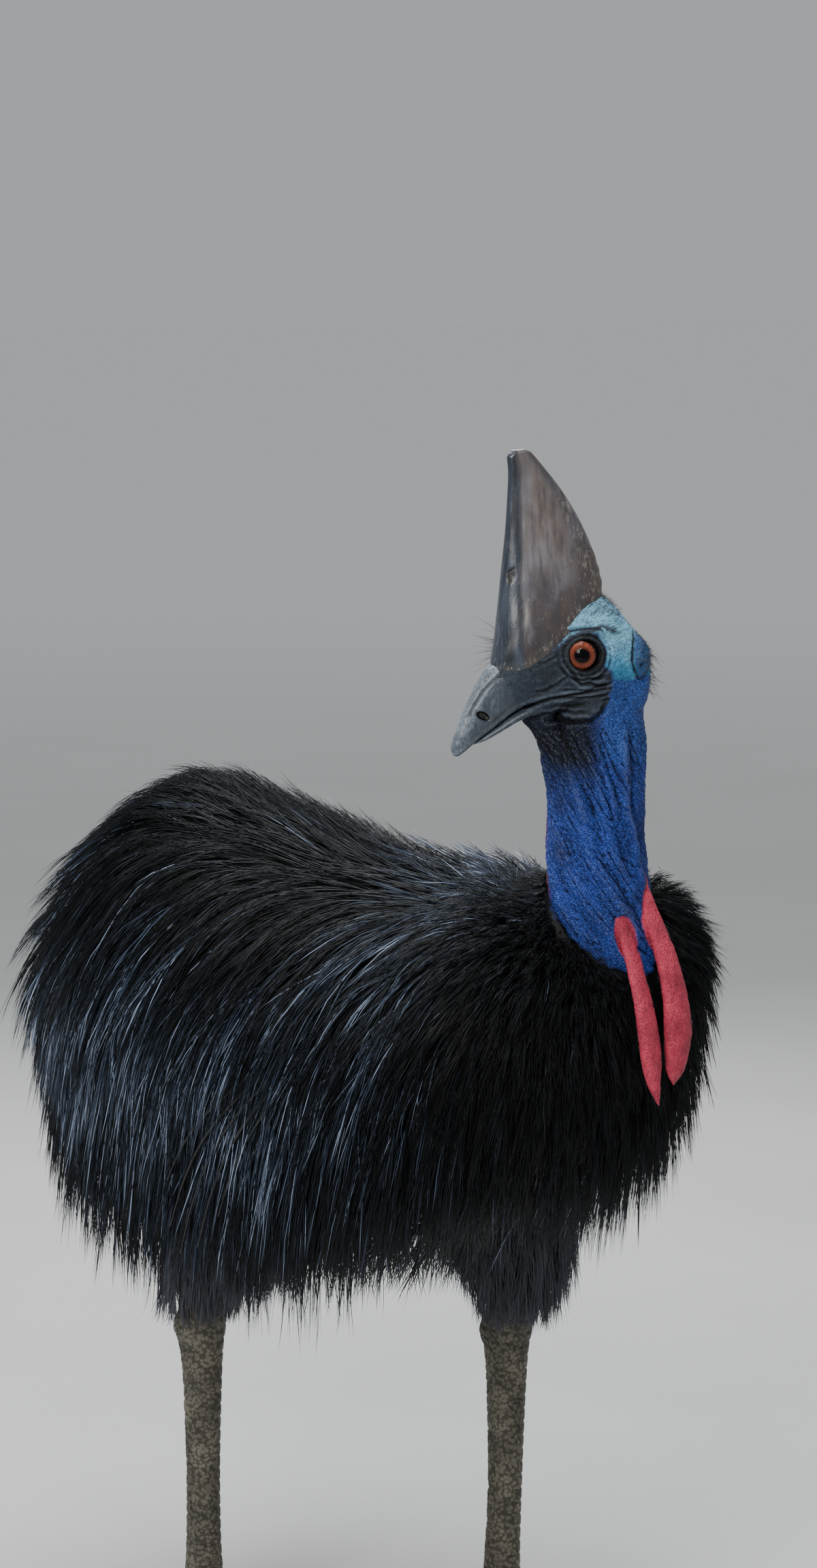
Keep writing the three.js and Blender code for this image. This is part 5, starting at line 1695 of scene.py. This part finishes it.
def coat(names, feathers, count_each, segments, weight, rng, barb_width, material):
    """Feathers over the torso, parted from rump to neck into named pieces."""
    share, angle = scatter(TORSO, feathers, rng, 0.02, 0.999, weight)
    root = TORSO.point(share, angle, -core_depth(share))
    below = below_edge(share, angle)
    keep = below > -0.5
    share, angle, below, root = share[keep], angle[keep], below[keep], root[keep]
    count = len(share)
    side = np.abs(angle)

    # paths, with a length and a sway for each feather
    under = ease(-0.4, -0.85, TORSO.normal(share, angle)[:, 2])
    length = np.interp(share, LENGTH_SHARES, LENGTHS) * (1 - 0.35 * under)
    length = length * (1 + 0.16 * rng.uniform(-1, 1, count)) * (0.26 + 0.74 * ease(0, 95, below))
    sway = 0.18 * ripple(root, 90, 101) + 0.16 * ripple(root, 30, 102)
    yaw = rng.normal(0, 0.12, (count, 3)) + sway[:, None] * np.array([0.6, 0.2, 0.6])
    point, normal, way = walk(TORSO, share, angle, torso_lie(yaw), length, FEATHER_NODES)
    run = np.linspace(0, 1, FEATHER_NODES)[None]

    # roots lie on the skin and tips on the coat's surface, looser towards the rump and the ruff
    depth = np.interp(run, [0, 1 / 3, 2 / 3, 1], [-1, -0.5, -0.16, 0])
    lift = depth * core_depth(share)[:, None]
    lift = lift - 3 * (1 - run) + (3 + rng.normal(0, 3.4, count))[:, None] * run**1.3
    fluff = ease(0.4, 0.14, share) * ease(2.0, 0.8, side)
    lift = lift + (fluff * rng.uniform(6, 46, count))[:, None] * run**1.2
    lifted = gathered((point + normal * lift[..., None]).reshape(-1, 3)).reshape(point.shape)
    puffed = ease(60, 10, below) * rng.uniform(1, 9, count)
    puffed = puffed + ease(0.7, 0.86, share) * rng.uniform(0, 9, count)
    lifted = lifted + normal * (puffed[:, None] * run)[..., None]
    rump = ease(0.34, 0.12, share) * ease(1.5, 0.6, side)
    straight = lifted[:, :1] + way[:, :1] * length[:, None, None] * run[..., None]
    drawn = (rump * rng.uniform(0.15, 0.9, count))[:, None, None]
    lifted = lifted + (straight - lifted) * drawn
    raised = rng.uniform(4, 44, count) + 46 * ease(0.24, 0.1, share) * rng.uniform(0, 1, count)
    lifted[..., 2] += (rump * raised)[:, None] * run**1.3
    lifted[..., 1] = held_back(lifted[..., 1], *FEATHER_REACH)
    low = lifted[..., 2] < HEM + rng.uniform(0, 22, count)[:, None]
    stop = np.where(low.any(1), np.maximum(low.argmax(1), 2) / (FEATHER_NODES - 1), 1.0)
    spread = np.interp(length, [12, 60, 190], [3, 8, 15]) * rng.uniform(0.45, 1.25, count)
    width = barb_width * np.interp(length, [15, 80, 190], [0.65, 0.9, 1.0])
    owner, places, across, out, radius, tau = barbs(
        lifted, normal, way, count_each, spread, width, rng, segments, stop
    )
    places[..., 2] = np.maximum(places[..., 2], HEM - 10)
    places[..., 1] = held_back(places[..., 1], *BARB_REACH)

    # black, with painted sheen: a paler back near the neck, silver streaks and glinting barbs on
    # the flanks, paler tips most where the sheen is painted; and a darker breast and saddle
    back_sheen = ease(0.6, 0.84, share) * ease(1.2, 0.4, side) * ease(8, 50, below)
    flank = ease(0.12, 0.3, share) * ease(0.88, 0.7, share) * bell(side, 0.6, 1.2)
    breast = ease(0.7, 0.8, share) * ease(1.2, 1.7, side)
    streak = 0.55 + 0.5 * ripple(root, 30, 103) + 0.3 * ripple(root, 12, 104)
    dim = breast + ease(0.2, 0.34, share) * ease(0.66, 0.56, share) * ease(0.9, 0.5, side)
    base = 0.19 + 0.2 * back_sheen + 0.24 * flank * streak - 0.08 * dim
    base = base + rng.normal(0, 0.08, count)
    tip = 0.15 + 0.12 * back_sheen + 0.38 * flank * streak - 0.1 * dim
    # glint: a share of barbs, mostly on the flanks, made brighter as painted highlights
    glint = 0.04 + 0.34 * flank * np.clip(streak, 0, 1) - 0.035 * breast
    total = len(owner)
    glint = rng.uniform(0.2, 0.55, total) * (rng.uniform(0, 1, total) < glint[owner])
    tone = (base[owner] + rng.normal(0, 0.12, total) + glint)[:, None]
    tone = tone + tip[owner][:, None] * tau**1.5 - 0.08 * (1 - tau)
    uv = map_spot(np.mod(angle / math.tau + 0.5, 1), share)[owner]
    order = np.argsort(share[owner], kind="stable")
    size = math.ceil(total / len(names))
    for i, name in enumerate(names):
        part = order[i * size : (i + 1) * size]
        mesh = coat_mesh(name, *(x[part] for x in (places, across, out, radius, tone, uv)))
        piece(f"plumage_{name}", mesh, material)


class CASSOWARY_OT_plumage(bpy.types.Operator):
    """Long, loose, hair-like feathers over the torso, from the neck's edge to the rump"""

    bl_idname = "cassowary.plumage"
    bl_label = "Plumage"

    def execute(self, context):
        sizes = context.scene.cassowary_sizes
        shared = sizes.barb_width / MM, plumage_material()
        rng = np.random.default_rng(4021)
        coat(COAT_NAMES, sizes.feathers, sizes.barbs, 4, body_weight, rng, *shared)
        rng = np.random.default_rng(88)
        coat(["collar"], sizes.collar_feathers, 7, 3, collar_weight, rng, *shared)
        return {"FINISHED"}


class CASSOWARY_OT_leg_plumage(bpy.types.Operator):
    """Shorter feathers down the thighs to the ankle joint"""

    bl_idname = "cassowary.leg_plumage"
    bl_label = "Leg plumage"

    def execute(self, context):
        sizes = context.scene.cassowary_sizes
        material = bpy.data.materials["plumage"]
        for name, leg in LEGS.items():
            rng = np.random.default_rng(77 + leg["side"])
            form = thigh_form(leg)
            share, angle = scatter(form, 420, rng, 0.02, 0.93, lambda s, a: 1 + 1.2 * s)
            count = len(share)
            length = np.interp(share, [0, 0.4, 0.7, 0.93], [95, 85, 62, 42])
            length = length * rng.uniform(0.8, 1.15, count)
            yaw = rng.normal(0, 0.1, (count, 3))
            point, normal, way = walk(form, share, angle, lambda s, a: DOWN + yaw, length, 7)
            run = np.linspace(0, 1, 7)[None]
            lift = -8 + (12 + rng.normal(0, 3, count))[:, None] * run**0.8
            spread = 9.0 * rng.uniform(0.7, 1.2, count)
            width = np.full(count, sizes.barb_width / MM * 0.9)
            point = point + normal * lift[..., None]
            owner, places, across, out, radius, tau = barbs(
                point, normal, way, sizes.barbs - 1, spread, width, rng, 3, np.ones(count)
            )
            places[..., 2] = np.maximum(places[..., 2], THIGH_HEM)
            tone = 0.16 + 0.1 * rng.normal(0, 1, len(owner))[:, None] + 0.12 * tau**1.5
            uv = map_spot(np.mod(angle / math.tau, 1), share)[owner]
            mesh = coat_mesh("thigh", places, across, out, radius, tone, uv)
            piece(f"plumage_thigh_{name}", mesh, material)
        return {"FINISHED"}


CROWN_EDGE = [(60, 84), (45, 100), (33, 114), (19, 128)]
BROW = [(52, 83), (40, 92), (26, 99), (8, 101), (-6, 97)]


class CASSOWARY_OT_bristles(bpy.types.Operator):
    """Fine black bristles on the head and sparse pale hairs on the wattles"""

    bl_idname = "cassowary.bristles"
    bl_label = "Bristles"

    def execute(self, context):
        skin = bpy.data.objects["skin"].data
        points, normals = points_of(skin), normals_of(skin)
        rng = np.random.default_rng(911)
        turn = rng.permutation(len(points))
        wattle = wattle_share(points) > 0.7
        turn = turn[((to_head(points)[:, 2] > 20) | wattle)[turn]]
        wattle, points, normals = wattle[turn], points[turn], normals[turn]
        q = to_head(points)
        u, v, w = q.T
        high = w > 20
        view = q[:, [0, 2]]
        sets = []

        def grow(mask, count, length, way, lift, width, tone, bend=0.25):
            found = np.flatnonzero(mask)[:count]
            n, u, v, w = normals[found], *q[found].T
            count = len(found)
            lie = way[0] * AHEAD + way[1] * np.sign(v)[:, None] * ASIDE + way[2] * UP
            lie = unit(flat(lie + rng.normal(0, 0.17, (count, 3)), n))
            lie = unit(lie + n * (lift + rng.normal(0, 0.12, count))[:, None])
            tau = np.linspace(0, 1, 4)[None, :, None]
            reach = (length * rng.uniform(0.55, 1.15, count))[:, None, None] * tau
            curl = rng.normal(0, 1, (count, 3)) * 0.12 + DOWN * bend
            nodes = (points[found] - n * 0.4)[:, None] + lie[:, None] * reach
            nodes = nodes + curl[:, None] * reach * tau
            out = np.repeat(unit(flat(n, lie))[:, None], 4, 1)
            across = np.cross(out, np.repeat(lie[:, None], 4, 1))
            radius = 0.5 * width * np.tile([1, 0.9, 0.6, 0.1], (count, 1))
            shade = np.repeat(tone + rng.normal(0, 0.05, count)[:, None], 4, 1)
            uv = map_spot(np.arctan2(v, u - 10) / math.tau + 0.5, np.clip((w + 340) / 480, 0, 1))
            sets.append((nodes, across, out, radius, shade, uv))

        teal = within(view, TURQUOISE_PATCH, 1.0) > 0.4
        crown = (w > 110) & (u < 24) & (u > -16)
        edge = line_distance(view, CROWN_EDGE)[0] < 3.5
        brow = line_distance(view, BROW)[0] < 2.4
        ear = np.hypot((u + 38) / 12, (w - 77) / 20) < 1.1
        nape = (u < -38) & (w < 80) & (w > 40) & (np.abs(v) < 30)
        cheek = (u < 100) & (u > -2) & (w > 25) & (w < 88)
        far = (u > 58) & (u < 76) & (v < -20) & (w > 76) & (w < 94)
        grow(teal & high, 2000, 5.5, (-0.9, 0.0, 0.3), 0.15, 0.26, 0.08, 0.1)
        grow(crown, 320, 13.0, (-0.7, 0.2, 0.7), 0.35, 0.42, 0.05)
        grow(edge & high, 420, 7.0, (-0.6, 0.1, 0.8), 0.2, 0.42, 0.02)
        grow(brow & high, 620, 7.5, (-1.0, 0.0, 0.3), 0.25, 0.55, 0.0, 0.08)
        grow(ear & high, 560, 7.0, (-0.7, 0.2, 0.1), 0.3, 0.36, 0.02)
        grow(nape, 200, 17.0, (-1.0, 0.1, -0.1), 0.55, 0.42, 0.0)
        grow(cheek, 600, 2.6, (-0.9, 0.0, 0.1), 0.2, 0.3, 0.35)
        grow(far, 150, 46.0, (0.7, 1.0, 0.35), 0.8, 0.5, 0.0, 0.05)
        grow(wattle, 120, 9.0, (0.1, 0.0, -1.0), 0.35, 0.24, 0.95)
        mesh = coat_mesh("bristles", *(np.concatenate(part) for part in zip(*sets)))
        piece("head_bristles", mesh, bpy.data.materials["plumage"])
        return {"FINISHED"}


CAMERA_TARGET = np.array([0.0281, -0.0254, 0.8886]) + SHIFT
CAMERA_TURN, CAMERA_RISE = math.radians(-40.0), math.radians(7.0)
CAMERA_AWAY = 4.3
EYE_IN_ROW = LEFT_EYE + SHIFT
FLOOR_REACH, FLOOR_STEPS = 60.0, 24


def aim_at(obj, spot, aim):
    """Sets an object down so that its -Z looks at a point, with +Y as near up as can be."""
    back = unit(spot - aim)
    right = unit(np.cross(UP, back))
    rows = np.eye(4)
    rows[:3] = columns(right, np.cross(back, right), back, spot)
    obj.matrix_world = Matrix(rows.tolist())


def area_light(name, offset, aim, size, power, colour=(1, 1, 1)):
    light = bpy.data.lights.new(name, "AREA")
    light.shape = "RECTANGLE"
    light.size, light.size_y = size
    light.energy = power
    light.color = colour
    aim_at(linked(name, light), aim + np.array(offset), aim)


class CASSOWARY_OT_stage(bpy.types.Operator):
    """Pale floor, soft lights and the camera"""

    bl_idname = "cassowary.stage"
    bl_label = "Stage"

    def execute(self, context):
        scene = context.scene
        mesh = bpy.data.meshes.new("floor")
        line = np.linspace(-FLOOR_REACH, FLOOR_REACH, FLOOR_STEPS + 1)
        x, y = (part.ravel() for part in np.meshgrid(line, line, indexing="ij"))
        row = np.arange(FLOOR_STEPS)[:, None] * (FLOOR_STEPS + 1) + np.arange(FLOOR_STEPS)[None]
        after = row + FLOOR_STEPS + 1
        quads = np.stack([row, after, after + 1, row + 1], -1).reshape(-1, 4)
        mesh.from_pydata(columns(x, y, 0 * x).tolist(), [], quads.tolist())
        mesh.materials.append(floor_material())
        linked("studio_floor", mesh)

        world = bpy.data.worlds.new("soft room")
        world.use_nodes = True
        backdrop = world.node_tree.nodes["Background"]
        backdrop.inputs["Color"].default_value = (0.82, 0.84, 0.86, 1)
        backdrop.inputs["Strength"].default_value = 0.5
        scene.world = world
        target = CAMERA_TARGET
        area_light("overhead", (-0.3, 0.5, 2.6), target, (2.2, 2.2), 110, (0.94, 0.97, 1.0))
        area_light("front window", (-2.6, -1.4, 1.5), target, (1.1, 1.4), 60, (1.0, 0.98, 0.95))
        area_light("rim", (1.8, 2.4, 1.4), target, (1.4, 1.4), 50)
        area_light("catch light", (-1.4482, -1.131, 1.8382), EYE_IN_ROW, (0.32, 0.24), 8)

        level = math.cos(CAMERA_RISE)
        back = math.sin(CAMERA_TURN) * level, -math.cos(CAMERA_TURN) * level, math.sin(CAMERA_RISE)
        data = bpy.data.cameras.new("camera")
        data.lens = scene.cassowary_sizes.lens
        data.sensor_width = 36.0
        scene.camera = linked("camera", data)
        aim_at(scene.camera, target + np.array(back) * CAMERA_AWAY, target)
        return {"FINISHED"}


STEPS = (
    CASSOWARY_OT_skin,
    CASSOWARY_OT_casque,
    CASSOWARY_OT_bill,
    CASSOWARY_OT_eyes,
    CASSOWARY_OT_claws,
    CASSOWARY_OT_quills,
    CASSOWARY_OT_plumage,
    CASSOWARY_OT_leg_plumage,
    CASSOWARY_OT_bristles,
    CASSOWARY_OT_stage,
)


class CASSOWARY_PT_panel(bpy.types.Panel):
    """Lists the sizes and the steps in the 3D view's sidebar"""

    bl_label = "Cassowary"
    bl_space_type = "VIEW_3D"
    bl_region_type = "UI"
    bl_category = "Cassowary"

    def draw(self, context):
        for name in CassowarySizes.__annotations__:
            self.layout.prop(context.scene.cassowary_sizes, name)
        for step in STEPS:
            self.layout.operator(step.bl_idname)


CLASSES = (CassowarySizes, *STEPS, CASSOWARY_PT_panel)


def register():
    for cls in CLASSES:
        bpy.utils.register_class(cls)
    bpy.types.Scene.cassowary_sizes = bpy.props.PointerProperty(type=CassowarySizes)


def unregister():
    del bpy.types.Scene.cassowary_sizes
    for cls in reversed(CLASSES):
        bpy.utils.unregister_class(cls)


def main():
    register()
    for step in STEPS:
        group, action = step.bl_idname.split(".")
        getattr(getattr(bpy.ops, group), action)()


if __name__ == "__main__":
    main()
